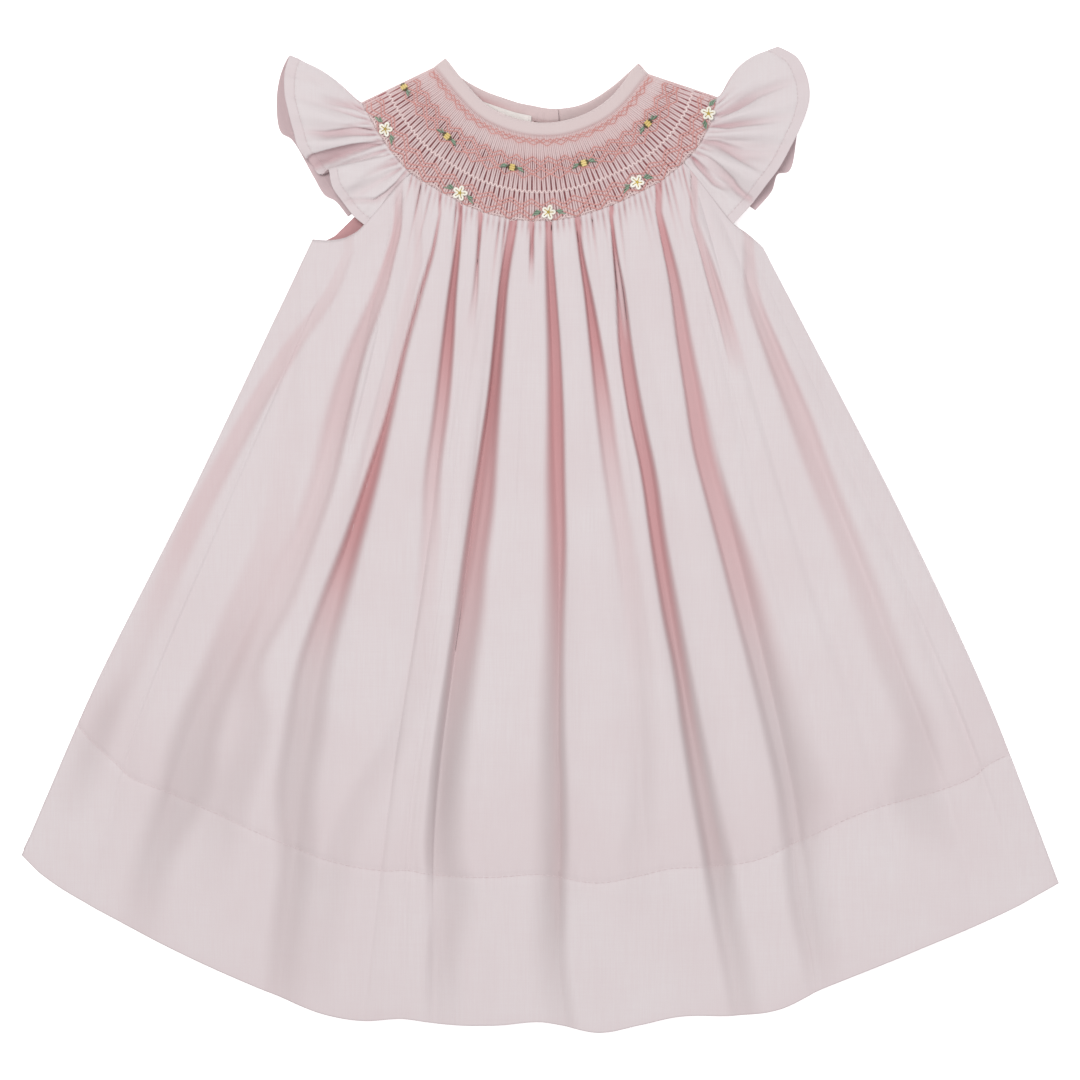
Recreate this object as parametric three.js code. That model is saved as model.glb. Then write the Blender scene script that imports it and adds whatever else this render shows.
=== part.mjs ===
// A baby's smocked bishop dress, laid flat on its back, face up. Millimetres, +X to the right of the
// picture, +Y towards the neck, +Z up off the table, origin under the middle of the dress.
//
// Front and back skirt, front and back yoke, two flutter sleeves and the neck binding are walls of
// cloth. Each wall is a grid of points through sections worked out from the tables below: one row
// for each fold, with where it starts, where it ends and how high it stands.
import * as THREE from "three";

// Driving sizes
const CLOTH = 1.2; // wall of the skirt panels
const SLEEVE_CLOTH = 1.0;
const SEAM_GAP = 0.3; // between sewn pieces
const HEM_EXTRA = 0.6; // the turned-up hem makes the skirt this much thicker
const BINDING_WIDTH = 7;
const BINDING_THICKNESS = 2.6;
const PLEATS = 80; // smocked pleats across the front, shoulder to shoulder
const PLEAT_HEIGHT = 1.5;
const YOKE_WALL = 2.4; // smocked cloth under the pleats' crests
const BACK_YOKE = 2.4;
const BUTTONS = { count: 3, radius: 4.5, thickness: 1.8, pitch: 13, firstY: 196 };
const LAP = 12; // overlap of the two back yokes where the buttons are
const LAPPED_CLOTH = 1.2;
const LABEL = { left: -28, right: -4, depth: 14, thickness: 0.8 };

const COLOURS = {
  cloth: { color: 0xecd9db, roughness: 0.85, metalness: 0 },
  smocking: { color: 0xe3bdbd, roughness: 0.9, metalness: 0 },
  binding: { color: 0xeadadb, roughness: 0.8, metalness: 0 },
  label: { color: 0xf1eeea, roughness: 0.7, metalness: 0 },
  button: { color: 0xf4e9e8, roughness: 0.35, metalness: 0 },
};

const clamp = THREE.MathUtils.clamp;
const lerp = THREE.MathUtils.lerp;
const plan = (points) => new THREE.SplineCurve(points.map(([x, y]) => new THREE.Vector2(x, y)));

// A smooth value through a few stations.
function through(stations, values) {
  const curve = new THREE.CubicInterpolant(stations, values, 1, new Float64Array(1));
  return (at) => curve.evaluate(at)[0];
}

// Outlines in plan, from the left of the picture to the right.
const neckSeam = plan([
  [-50, 222.5], [-39.5, 209], [-28, 198], [-14, 191.5], [0.5, 189],
  [14.5, 190.5], [28.5, 196], [40, 205], [51, 219.5],
]);
const yokeEdge = plan([
  [-84, 206], [-77, 193], [-69.5, 182], [-61, 172.5], [-52, 166.5], [-42.5, 161], [-33, 156],
  [-21, 152], [-8, 149.8], [6, 149.8], [19, 152], [32.5, 156.5], [45, 162], [58.5, 169.5],
  [67, 177], [74.5, 185.5], [80, 196], [83.5, 208.5],
]);
const backNeckSeam = plan([
  [-50, 222.5], [-42, 213], [-31, 206.3], [-20, 202], [-6, 197.8], [8, 196], [24, 199.5], [38, 208], [51, 219.5],
]);
const leftArmhole = plan([
  [-108, 139.5], [-101, 139], [-94, 139.8], [-87, 142.8], [-82, 147.6], [-71.6, 159.4], [-61, 171.4],
]);
const rightArmhole = plan([[67.9, 176.5], [79, 162.3], [90.3, 147.9], [99, 141.5], [105.8, 135.5], [108.4, 129.5]]);
const hemY = through(
  [-244.6, -235, -197, -160, -122, -103, -84, -65, -47, -20, 0, 9, 28, 47, 66, 94, 113, 132, 170, 226, 244.6],
  [-149.5, -158.5, -180, -198.5, -215, -222.5, -226, -225, -227.5, -228, -226.5, -228, -231.5, -228, -224, -223.5,
    -220.5, -211.5, -196, -172, -162.5],
);

// Where the raglan seams meet the yoke's outer edge, as shares of its length.
const RAGLAN_LEFT = 0.19;
const RAGLAN_RIGHT = 0.835;

// Plan point and outward direction of a curve that runs left to right with the dress's neck above it.
function edgeFrame(curve, share) {
  const at = curve.getPointAt(clamp(share, 0, 1));
  const along = curve.getTangentAt(clamp(share, 0, 1));
  return { at, out: new THREE.Vector2(along.y, -along.x) };
}

// The share of a curve's length at which it has come to a given X.
function shareAtX(curve, x) {
  let before = 0;
  let after = 1;
  for (let halving = 0; halving < 24; halving++) {
    const middle = (before + after) / 2;
    if (curve.getPointAt(middle).x < x) before = middle;
    else after = middle;
  }
  return (before + after) / 2;
}

// Heights of the yoke: its crests (outside) and its plain inside, falling to the shoulder folds.
const SHOULDER = { inside: 2.7, outside: 3.9 };
function yokeDome(share) {
  return Math.sqrt(Math.max(0, 1 - Math.pow(Math.abs(2 * share - 1), 7)));
}
const YOKE_INSIDE = { neck: 7.2, skirt: 7.6 };
function yokeLevel(down) {
  return lerp(YOKE_INSIDE.neck, YOKE_INSIDE.skirt, down);
}
function yokeInside(share, down) {
  return lerp(SHOULDER.inside, yokeLevel(down), yokeDome(share));
}
function yokeOutside(share, down) {
  const level = yokeLevel(down) + YOKE_WALL + 0.9 * Math.sin(Math.PI * down);
  return lerp(SHOULDER.outside, level, yokeDome(share));
}
function yokeMiddle(share) {
  return (yokeInside(share, 1) + yokeOutside(share, 1)) / 2;
}

// A closed wall from two grids of points. inside has the columns of outside, and either as many rows
// or only the first and the last.
function closedWall(outside, inside) {
  const rows = outside.length;
  const columns = outside[0].length;
  const positions = [...outside, ...inside].flat().flatMap((p) => [p.x, p.y, p.z]);
  const outer = (r, c) => r * columns + c;
  const inner = (r, c) => (rows + r) * columns + c;
  const faces = [];
  for (let r = 0; r + 1 < rows; r++)
    for (let c = 0; c + 1 < columns; c++)
      faces.push(outer(r, c), outer(r + 1, c), outer(r + 1, c + 1), outer(r, c), outer(r + 1, c + 1), outer(r, c + 1));
  for (let r = 0; r + 1 < inside.length; r++)
    for (let c = 0; c + 1 < columns; c++)
      faces.push(inner(r, c), inner(r + 1, c + 1), inner(r + 1, c), inner(r, c), inner(r, c + 1), inner(r + 1, c + 1));
  const last = inside.length - 1;
  for (let c = 0; c + 1 < columns; c++) {
    faces.push(outer(0, c), outer(0, c + 1), inner(0, c + 1), outer(0, c), inner(0, c + 1), inner(0, c));
    faces.push(outer(rows - 1, c), inner(last, c), inner(last, c + 1));
    faces.push(outer(rows - 1, c), inner(last, c + 1), outer(rows - 1, c + 1));
  }
  for (const [c, flip] of [[0, false], [columns - 1, true]]) {
    const side = (a, b, d) => (flip ? faces.push(a, d, b) : faces.push(a, b, d));
    const same = inside.length === rows;
    for (let r = 0; r + 1 < rows; r++) {
      side(outer(r, c), inner(same ? r : 0, c), outer(r + 1, c));
      if (same) side(inner(r, c), inner(r + 1, c), outer(r + 1, c));
    }
    if (!same) side(inner(0, c), inner(1, c), outer(rows - 1, c));
  }
  const geometry = new THREE.BufferGeometry();
  geometry.setAttribute("position", new THREE.Float32BufferAttribute(positions, 3));
  geometry.setIndex(faces);
  geometry.computeVertexNormals();
  return geometry;
}

// Moves a middle surface out and in by half its thickness along its normals.
function wallAround(middle, above, below) {
  const rows = middle.length;
  const columns = middle[0].length;
  const normal = (r, c) => {
    const across = middle[r][Math.min(c + 1, columns - 1)].clone().sub(middle[r][Math.max(c - 1, 0)]);
    const down = middle[Math.min(r + 1, rows - 1)][c].clone().sub(middle[Math.max(r - 1, 0)][c]);
    return down.cross(across).normalize();
  };
  const moved = (side, distance) =>
    middle.map((row, r) => row.map((p, c) => p.clone().addScaledVector(normal(r, c), side * distance(r, c))));
  return closedWall(moved(1, above), moved(-1, below));
}

// The front skirt's valleys, left to right: X on the top edge, at 0.4 and 0.75 of the way down and on
// the hem. floor and crest are heights of the wall's middle at the skirt's stations, in this valley
// and on the ridge to its right.
const STATIONS = [0, 0.1, 0.4, 0.75, 1];
const PLAN_STATIONS = [0, 0.4, 0.75, 1];
const LOWEST = CLOTH + SEAM_GAP + CLOTH / 2; // the front's middle where it lies on the back
const skirtFolds = [
  { top: -108, waist: -163, knee: -213.5, hem: -244.6, floor: [2.1, 2.1, 2.1, 2.1, 2.1], crest: [3.0, 4.4, 5.5, 5.0, 4.4] },
  { top: -93, waist: -147, knee: -192, hem: -214, floor: [3.6, 4.0, 4.6, 4.6, 4.2], crest: [4.4, 7.0, 8.0, 7.0, 5.6] },
  { top: -66, waist: -103, knee: -166, hem: -189, floor: [7.0, 5.6, 4.8, 4.2, 4.0], crest: [7.4, 11.0, 11.5, 8.6, 6.4] },
  { top: -52, waist: -87, knee: -113, hem: -121.5, floor: [8.6, 4.2, 2.4, 3.8, 3.8], crest: [9.2, 11.5, 13.0, 9.6, 7.0] },
  { top: -36, waist: -52, knee: -72, hem: -84, floor: [8.6, 4.2, 4.8, 6.2, 4.8], crest: [9.2, 10.5, 12.0, 9.6, 6.8] },
  { top: -25.5, waist: -43, knee: -61, hem: -66, floor: [8.6, 5.0, 10.5, 8.8, 6.0], crest: [9.2, 10.5, 12.5, 10.0, 7.0] },
  { top: -12, waist: -32.5, knee: -49.5, hem: -50, floor: [8.6, 3.8, 2.3, 4.0, 3.8], crest: [9.2, 10.5, 13.0, 10.4, 7.4] },
  { top: -4, waist: -13, knee: -22, hem: -22, floor: [8.6, 6.0, 12.0, 9.6, 6.8], crest: [9.2, 10.5, 13.0, 10.4, 7.4] },
  { top: 3.5, waist: 8.5, knee: 8.5, hem: 9.5, floor: [8.6, 3.6, 4.0, 5.0, 4.4], crest: [9.2, 11.5, 13.0, 10.4, 7.6] },
  { top: 17.5, waist: 37, knee: 47, hem: 49, floor: [8.6, 3.4, 4.8, 6.8, 4.8], crest: [9.2, 11.5, 12.5, 10.0, 7.2] },
  { top: 32.5, waist: 54.5, knee: 79, hem: 94.5, floor: [8.6, 3.2, 2.3, 3.6, 3.8], crest: [9.2, 12.0, 13.5, 10.4, 7.2] },
  { top: 54.5, waist: 88, knee: 118, hem: 132, floor: [8.6, 3.6, 2.3, 3.8, 4.0], crest: [9.2, 11.0, 11.5, 9.4, 6.8] },
  { top: 64, waist: 101, knee: 136, hem: 156, floor: [8.6, 6.2, 8.6, 7.6, 5.6], crest: [9.2, 11.0, 11.0, 9.0, 6.6] },
  { top: 71.5, waist: 113, knee: 157, hem: 181, floor: [7.4, 5.0, 5.4, 6.0, 4.8], crest: [7.2, 9.6, 10.0, 8.0, 6.2] },
  { top: 83, waist: 137, knee: 183, hem: 209.5, floor: [6.0, 4.8, 5.0, 4.8, 4.2], crest: [5.8, 7.2, 8.2, 6.6, 5.4] },
  { top: 96, waist: 154, knee: 202, hem: 229, floor: [4.2, 3.8, 4.2, 4.0, 3.8], crest: [3.4, 4.6, 5.8, 5.2, 4.6] },
  { top: 108.4, waist: 169.5, knee: 217, hem: 244.6, floor: [2.1, 2.1, 2.1, 2.1, 2.1], crest: [2.1, 2.1, 2.1, 2.1, 2.1] },
];
const ACROSS_A_FOLD = [0, 0.13, 0.29, 0.5, 0.71, 0.87]; // columns from one valley to the next
const SIDE_PUSH = 0.07; // how far a ridge's sides are pushed towards upright
const MOST_STEEP = 0.55; // a ridge's height over its width, at most
const stitchShare = 0.815; // the hem's stitch line, down the skirt
const SKIRT_ROWS = [0, 0.03, 0.07, 0.13, 0.24, 0.4, 0.55, 0.68, stitchShare - 0.012, stitchShare, 0.9, 1];

function skirtTopEdge(x) {
  for (const armhole of [leftArmhole, rightArmhole])
    if (x >= armhole.getPointAt(0).x && x <= armhole.getPointAt(1).x) return armhole.getPointAt(shareAtX(armhole, x));
  const share = clamp(shareAtX(yokeEdge, x), RAGLAN_LEFT, RAGLAN_RIGHT);
  const { at, out } = edgeFrame(yokeEdge, share);
  return at.addScaledVector(out, SEAM_GAP + 0.1);
}

// A rounded ridge, 0 at both valleys and 1 on its crest, softer towards the hem.
function ridge(share, down) {
  return Math.pow(Math.sin(Math.PI * share), lerp(1.15, 1.8, Math.min(1, down / 0.75)));
}

function skirtPoint(fold, share, down) {
  const left = skirtFolds[fold];
  const right = skirtFolds[Math.min(fold + 1, skirtFolds.length - 1)];
  const across = share - SIDE_PUSH * Math.min(1, down / 0.1) * Math.sin(2 * Math.PI * share);
  const topX = (at) => skirtTopEdge(at).x;
  const line = (part) =>
    through(PLAN_STATIONS, [
      lerp(topX(left.top), topX(right.top), part), lerp(left.waist, right.waist, part),
      lerp(left.knee, right.knee, part), lerp(left.hem, right.hem, part),
    ])(down);
  const top = skirtTopEdge(lerp(left.top, right.top, across));
  const hemX = lerp(left.hem, right.hem, across);
  const floor = lerp(through(STATIONS, left.floor)(down), through(STATIONS, right.floor)(down), share);
  const rise = Math.min(through(STATIONS, left.crest)(down) - floor, MOST_STEEP * (line(1) - line(0)));
  const z = Math.max(LOWEST, floor + Math.max(0, rise) * ridge(share, down));
  return new THREE.Vector3(line(across), lerp(top.y, hemY(hemX), down), z);
}

function frontSkirt() {
  const columns = skirtFolds.slice(0, -1).flatMap((_, fold) => ACROSS_A_FOLD.map((share) => [fold, share]));
  columns.push([skirtFolds.length - 1, 0]);
  const middle = SKIRT_ROWS.map((down) => columns.map(([fold, share]) => skirtPoint(fold, share, down)));
  const hemmed = (r) => (SKIRT_ROWS[r] >= stitchShare ? HEM_EXTRA : 0);
  return wallAround(middle, (r) => CLOTH / 2 + hemmed(r), () => CLOTH / 2);
}

// The back skirt lies flat under the front, a little inside its outline.
function backSkirt() {
  const outline = new THREE.Shape();
  const inset = 1.0;
  const hemInset = 3.5;
  const side = (fold, down) => skirtPoint(fold, 0, down);
  const sideRows = [0, 0.15, 0.3, 0.45, 0.6, 0.8, 1];
  const last = skirtFolds.length - 1;
  const left = sideRows.map((down) => side(0, down));
  left.forEach((p, i) => {
    if (i === 0) outline.moveTo(p.x + inset, p.y);
    else outline.lineTo(p.x + inset, p.y + (i === left.length - 1 ? hemInset : 0));
  });
  for (let x = -228; x <= 228; x += 12) outline.lineTo(x, hemY(x) + hemInset);
  for (const down of [...sideRows].reverse()) {
    const p = side(last, down);
    outline.lineTo(p.x - inset, p.y + (down === 1 ? hemInset : 0));
  }
  // Along the right armhole, the seam to the back yokes, and the left armhole's back edge.
  for (const share of [0.75, 0.5, 0.25]) {
    const p = rightArmhole.getPointAt(share);
    outline.lineTo(p.x - 1, p.y - 1);
  }
  const seam = Array.from({ length: 25 }, (_, i) => lerp(RAGLAN_RIGHT, RAGLAN_LEFT, i / 24));
  for (const share of seam) {
    const { at, out } = edgeFrame(yokeEdge, share);
    outline.lineTo(at.x + out.x * SEAM_GAP, at.y + out.y * SEAM_GAP);
  }
  for (const [x, y] of [[-75, 163.5], [-88.6, 151.3], [-97, 143.4], [-103, 140.5]]) outline.lineTo(x, y);
  return new THREE.ExtrudeGeometry(outline, { depth: CLOTH, bevelEnabled: false });
}

// Smocked front yoke: pleat crests and valleys are the columns of its outside, over a plain inside.
function frontYoke() {
  const rows = [0, 0.1, 0.28, 0.46, 0.64, 0.82, 1];
  const columns = Array.from({ length: 2 * PLEATS + 1 }, (_, c) => c);
  const at = (share, down) => {
    const neck = edgeFrame(neckSeam, share);
    const edge = yokeEdge.getPointAt(share);
    return neck.at.addScaledVector(neck.out, SEAM_GAP).lerp(edge, down);
  };
  const swell = (down) => PLEAT_HEIGHT * (0.35 + 0.65 * Math.min(1, down / 0.28));
  const outside = rows.map((down) =>
    columns.map((c) => {
      const share = c / (2 * PLEATS);
      const p = at(share, down);
      const pleat = (c % 2 ? 1 : 0) * swell(down) * yokeDome(share);
      return new THREE.Vector3(p.x, p.y, yokeOutside(share, down) + pleat);
    }),
  );
  const inside = [0, 1].map((down) =>
    columns.map((c) => {
      const share = c / (2 * PLEATS);
      const p = at(share, down);
      return new THREE.Vector3(p.x, p.y, yokeInside(share, down));
    }),
  );
  return closedWall(outside, inside);
}

// Height of the back under the buttons, and how far it has come to its lap at the middle of the back.
const lapX = 3;
function lapShare(x) {
  return 1 - THREE.MathUtils.smoothstep(Math.abs(x - lapX), LAP / 2 + 2, LAP / 2 + 10);
}
function backBottom(x, onTop) {
  return lapShare(x) * (BUTTONS.thickness + SEAM_GAP + (onTop ? LAPPED_CLOTH + SEAM_GAP : 0));
}
function backThickness(x, full) {
  return lerp(full, LAPPED_CLOTH, lapShare(x));
}

// One side of the back yoke, flat on the table. Its columns fan out from the neck, and run straight
// down where the two sides lap. The left side lies on the right one's lap.
const LAP_COLUMNS = [-16, -14, -12, -10, -8, -6, 0, 6, 8, 10, 12, 14, 16];
function backYoke(isLeft) {
  const own = LAP_COLUMNS.filter((step) => (isLeft ? step <= LAP / 2 : step >= -LAP / 2)).map((step) => lapX + step);
  const wingEnd = isLeft ? own[0] : own[own.length - 1];
  const wing = Array.from({ length: 14 }, (_, i) => (isLeft ? i / 14 : 1 - i / 14));
  const neckEnd = shareAtX(backNeckSeam, wingEnd);
  const edgeEnd = shareAtX(yokeEdge, wingEnd);
  const fan = (t) => {
    const share = (end) => (isLeft ? end * t : lerp(end, 1, t));
    return [share(neckEnd), share(edgeEnd)];
  };
  const lapped = own.map((x) => [shareAtX(backNeckSeam, x), shareAtX(yokeEdge, x)]);
  const columns = isLeft ? [...wing.map(fan), ...lapped] : [...lapped, ...wing.reverse().map((t) => fan(t))];
  const grid = (height) =>
    [0, 0.5, 1].map((down) =>
      columns.map(([neckShare, edgeShare]) => {
        const neck = edgeFrame(backNeckSeam, neckShare);
        const p = neck.at.addScaledVector(neck.out, SEAM_GAP).lerp(yokeEdge.getPointAt(edgeShare), down);
        return new THREE.Vector3(p.x, p.y, height(p.x));
      }),
    );
  const bottom = (x) => backBottom(x, isLeft);
  return closedWall(grid((x) => bottom(x) + backThickness(x, BACK_YOKE)), grid(bottom));
}

// The neck binding's front length, a rounded strip along the neck seam.
function binding(seam, from, to, bottom, thickness, count) {
  const profile = [0, 0.08, 0.3, 0.7, 0.92, 1];
  const round = [0.55, 0.85, 1, 1, 0.85, 0.55];
  const shares = Array.from({ length: count + 1 }, (_, i) => lerp(from, to, i / count));
  const grid = (height) =>
    profile.map((across, r) =>
      shares.map((share) => {
        const { at, out } = edgeFrame(seam, share);
        const p = at.addScaledVector(out, -BINDING_WIDTH * (1 - across));
        return new THREE.Vector3(p.x, p.y, height(share, r));
      }),
    );
  return closedWall(grid((share, r) => bottom(share) + thickness(share) * round[r]), grid((share) => bottom(share)));
}
function frontBinding() {
  const bottom = (share) => lerp(SHOULDER.inside + 0.4, YOKE_INSIDE.neck - 0.2, yokeDome(share));
  return binding(neckSeam, 0, 1, bottom, (share) => lerp(1.6, BINDING_THICKNESS + 0.5, yokeDome(share)), 44);
}
function backBinding(isLeft) {
  const from = isLeft ? 0 : shareAtX(backNeckSeam, lapX - LAP / 2);
  const to = isLeft ? shareAtX(backNeckSeam, lapX + LAP / 2) : 1;
  const x = (share) => backNeckSeam.getPointAt(clamp(share, 0, 1)).x;
  const bottom = (share) => backBottom(x(share), isLeft);
  return binding(backNeckSeam, from, to, bottom, (share) => backThickness(x(share), BINDING_THICKNESS), 34);
}

// Creases of a flutter sleeve, from the seam to the front armhole, over the top fold, to the back.
// gather is the crease's place on the yoke's edge, x and y its place on the sleeve's hem, rise its
// heights a third of the way out, two thirds out and on the hem, and bow how far its middle bulges
// towards the shoulder. Back rows lie under front ones.
const leftSleeve = [
  { gather: 0.1865, x: -82.5, y: 148.1, rise: [7.4, 6.6, 5.8], bow: 0 },
  { gather: 0.178, x: -87.3, y: 152.0, rise: [8.6, 8.4, 7.0], bow: 0 },
  { gather: 0.168, x: -92.4, y: 158.4, rise: [7.4, 7.4, 7.2], bow: 0 },
  { gather: 0.152, x: -97.5, y: 166.0, rise: [9.8, 11.5, 10.0], bow: 0 },
  { gather: 0.136, x: -99.2, y: 173.7, rise: [9.4, 11.0, 9.8], bow: 0 },
  { gather: 0.122, x: -103.5, y: 171.8, rise: [6.2, 5.2, 4.4], bow: 0 },
  { gather: 0.108, x: -110.4, y: 179.6, rise: [8.0, 9.0, 8.6], bow: 0 },
  { gather: 0.096, x: -113.8, y: 185.0, rise: [10.0, 12.0, 11.0], bow: 0 },
  { gather: 0.08, x: -115.6, y: 191.5, rise: [7.8, 9.4, 10.0], bow: 0 },
  { gather: 0.062, x: -118.0, y: 201.0, rise: [9.8, 12.5, 12.2], bow: 0 },
  { gather: 0.042, x: -119.8, y: 210.0, rise: [7.8, 10.8, 11.6], bow: 0 },
  { gather: 0.022, x: -119.6, y: 219.5, rise: [8.4, 11.0, 11.0], bow: 1.2 },
  { gather: 0.003, x: -117.9, y: 227.3, rise: [4.4, 6.2, 6.8], bow: 2.8 },
  { gather: 0.006, x: -121.8, y: 220.5, rise: [1.8, 2.2, 2.4], bow: 2.0, back: true },
  { gather: 0.022, x: -124.1, y: 208.5, rise: [1.0, 0.9, 0.8], bow: 0, back: true },
  { gather: 0.045, x: -122.3, y: 192.5, rise: [1.0, 0.9, 0.8], bow: 0, back: true },
  { gather: 0.07, x: -117.0, y: 188.8, rise: [1.0, 1.6, 2.0], bow: 0, back: true },
  { gather: 0.1, x: -106.5, y: 170.8, rise: [1.2, 2.0, 2.4], bow: 0, back: true },
  { gather: 0.13, x: -101.5, y: 162.6, rise: [1.0, 1.0, 0.8], bow: 0, back: true },
  { gather: 0.158, x: -96.5, y: 159.8, rise: [1.2, 1.8, 2.0], bow: 0, back: true },
  { gather: 0.178, x: -90.5, y: 152.5, rise: [1.0, 0.9, 0.8], bow: 0, back: true },
];
const rightSleeve = [
  { gather: 0.8385, x: 90.9, y: 148.6, rise: [7.6, 7.0, 6.0], bow: 0 },
  { gather: 0.846, x: 95.5, y: 153.4, rise: [9.0, 8.6, 7.0], bow: 0 },
  { gather: 0.856, x: 100.8, y: 159.5, rise: [6.8, 6.0, 5.8], bow: 0 },
  { gather: 0.87, x: 106.2, y: 166.7, rise: [10.5, 12.0, 9.6], bow: 0.8 },
  { gather: 0.886, x: 112.0, y: 174.2, rise: [8.2, 8.4, 8.6], bow: 0.8 },
  { gather: 0.899, x: 117.0, y: 183.1, rise: [6.6, 7.2, 8.2], bow: 0 },
  { gather: 0.914, x: 121.2, y: 191.6, rise: [10.0, 11.0, 10.0], bow: 0 },
  { gather: 0.93, x: 124.4, y: 199.2, rise: [8.4, 9.8, 9.8], bow: 0 },
  { gather: 0.945, x: 126.3, y: 208.1, rise: [9.6, 12.0, 11.5], bow: 0 },
  { gather: 0.959, x: 125.0, y: 217.3, rise: [7.0, 10.4, 11.6], bow: 1.0 },
  { gather: 0.977, x: 120.5, y: 225.9, rise: [8.4, 11.6, 11.8], bow: 2.6 },
  { gather: 0.996, x: 111.5, y: 231.5, rise: [4.6, 6.4, 7.0], bow: 5.0 },
  { gather: 0.993, x: 117.0, y: 227.6, rise: [1.8, 2.2, 2.4], bow: 3.4, back: true },
  { gather: 0.975, x: 122.0, y: 211.0, rise: [1.0, 0.9, 0.8], bow: 1.0, back: true },
  { gather: 0.952, x: 120.8, y: 188.8, rise: [1.0, 0.9, 0.8], bow: 0, back: true },
  { gather: 0.928, x: 117.5, y: 174.0, rise: [1.0, 0.9, 0.8], bow: 0, back: true },
  { gather: 0.904, x: 112.0, y: 172.3, rise: [1.2, 2.2, 2.4], bow: 0, back: true },
  { gather: 0.876, x: 109.3, y: 164.6, rise: [1.0, 0.9, 0.8], bow: 0, back: true },
  { gather: 0.85, x: 101.5, y: 155.4, rise: [1.0, 0.9, 0.8], bow: 0, back: true },
];
const SLEEVE_ROWS = [0, 0.16, 0.4, 0.7, 1];
const STEPS_PER_CREASE = 3;
const SLEEVE_STATIONS = [0, 0.33, 0.66, 1];

function creasePoint(crease, out) {
  const { at, out: away } = edgeFrame(yokeEdge, crease.gather);
  at.addScaledVector(away, SEAM_GAP + 0.4);
  const reach = new THREE.Vector2(crease.x, crease.y).sub(at);
  const shoulderwards = new THREE.Vector2(-reach.y, reach.x).normalize().multiplyScalar(Math.sign(crease.x));
  const p = at.addScaledVector(reach, out).addScaledVector(shoulderwards, crease.bow * Math.sin(Math.PI * out));
  const start = crease.back ? 1.0 : yokeMiddle(crease.gather);
  const z = through(SLEEVE_STATIONS, [start, ...crease.rise])(out);
  return new THREE.Vector3(p.x, p.y, Math.max(SLEEVE_CLOTH / 2, z));
}

function sleeve(creases, isLeft) {
  const steps = (creases.length - 1) * STEPS_PER_CREASE;
  const ordered = isLeft ? [...creases].reverse() : creases;
  const middle = SLEEVE_ROWS.map((out) => {
    const across = new THREE.CatmullRomCurve3(ordered.map((c) => creasePoint(c, out)), false, "centripetal");
    return Array.from({ length: steps + 1 }, (_, i) => {
      const p = across.getPoint(i / steps);
      p.z = Math.max(SLEEVE_CLOTH / 2, p.z);
      return p;
    });
  });
  const half = () => SLEEVE_CLOTH / 2;
  return wallAround(middle, half, half);
}

// The rimmed face of each button is its outer one, and it lies on the table.
function button() {
  const { radius, thickness } = BUTTONS;
  const profile = [
    [0, 0.4], [radius - 1.6, 0.4], [radius - 1.2, 0], [radius - 0.4, 0], [radius, 0.4],
    [radius, thickness - 0.4], [radius - 0.4, thickness], [0, thickness],
  ].map(([r, z]) => new THREE.Vector2(r, z));
  return new THREE.LatheGeometry(profile, 24).rotateX(Math.PI / 2);
}

// The blank label hangs from the back binding and lies on the left back yoke.
function label() {
  const onYoke = LAP_COLUMNS.map((step) => lapX + step).filter((x) => x < LABEL.right);
  const columns = [LABEL.left, ...onYoke, LABEL.right];
  const grid = (above) =>
    [0, 1].map((down) =>
      columns.map((x) => {
        const { at, out } = edgeFrame(backNeckSeam, shareAtX(backNeckSeam, x));
        const z = backBottom(x, true) + backThickness(x, BACK_YOKE) + SEAM_GAP + above;
        return new THREE.Vector3(x, at.y + out.y * SEAM_GAP * 2 - LABEL.depth * down, z);
      }),
    );
  return closedWall(grid(LABEL.thickness), grid(0));
}

const dress = new THREE.Group();
function add(name, geometry, colour) {
  const mesh = new THREE.Mesh(geometry, new THREE.MeshStandardMaterial(COLOURS[colour]));
  mesh.name = name;
  dress.add(mesh);
  return mesh;
}

add("front_skirt", frontSkirt(), "cloth");
add("back_skirt", backSkirt(), "cloth");
add("front_yoke", frontYoke(), "smocking");
add("back_yoke_left", backYoke(true), "cloth");
add("back_yoke_right", backYoke(false), "cloth");
add("neck_binding_front", frontBinding(), "binding");
add("neck_binding_back_left", backBinding(true), "binding");
add("neck_binding_back_right", backBinding(false), "binding");
add("sleeve_left", sleeve(leftSleeve, true), "cloth");
add("sleeve_right", sleeve(rightSleeve, false), "cloth");
add("neck_label", label(), "label");
for (let i = 0; i < BUTTONS.count; i++)
  add(`button_${i + 1}`, button(), "button").position.set(lapX, BUTTONS.firstY - i * BUTTONS.pitch, 0);

export default dress;
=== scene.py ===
# Looks for the smocked baby dress, laid flat, face up. Lengths are millimetres until a mesh is made.
import math

import bpy
import numpy as np
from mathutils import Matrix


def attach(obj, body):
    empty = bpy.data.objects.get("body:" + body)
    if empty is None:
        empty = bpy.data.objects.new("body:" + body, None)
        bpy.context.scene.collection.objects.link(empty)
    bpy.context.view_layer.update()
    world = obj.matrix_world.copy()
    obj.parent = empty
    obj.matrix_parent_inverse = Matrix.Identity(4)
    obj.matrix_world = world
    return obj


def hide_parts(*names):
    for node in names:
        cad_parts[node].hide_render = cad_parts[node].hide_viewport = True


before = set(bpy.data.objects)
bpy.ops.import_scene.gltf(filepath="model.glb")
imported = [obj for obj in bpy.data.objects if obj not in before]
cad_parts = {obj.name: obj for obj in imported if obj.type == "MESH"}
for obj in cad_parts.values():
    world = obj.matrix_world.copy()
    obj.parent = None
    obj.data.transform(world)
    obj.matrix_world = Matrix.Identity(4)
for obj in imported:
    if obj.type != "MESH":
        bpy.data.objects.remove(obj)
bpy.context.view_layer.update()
dice = np.random.default_rng(11)
MM = 0.001
FLOOR_Z = -0.0004


# Camera, lights and floor

def placed(name, data):
    held = bpy.data.objects.new(name, data)
    bpy.context.scene.collection.objects.link(held)
    return held


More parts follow.
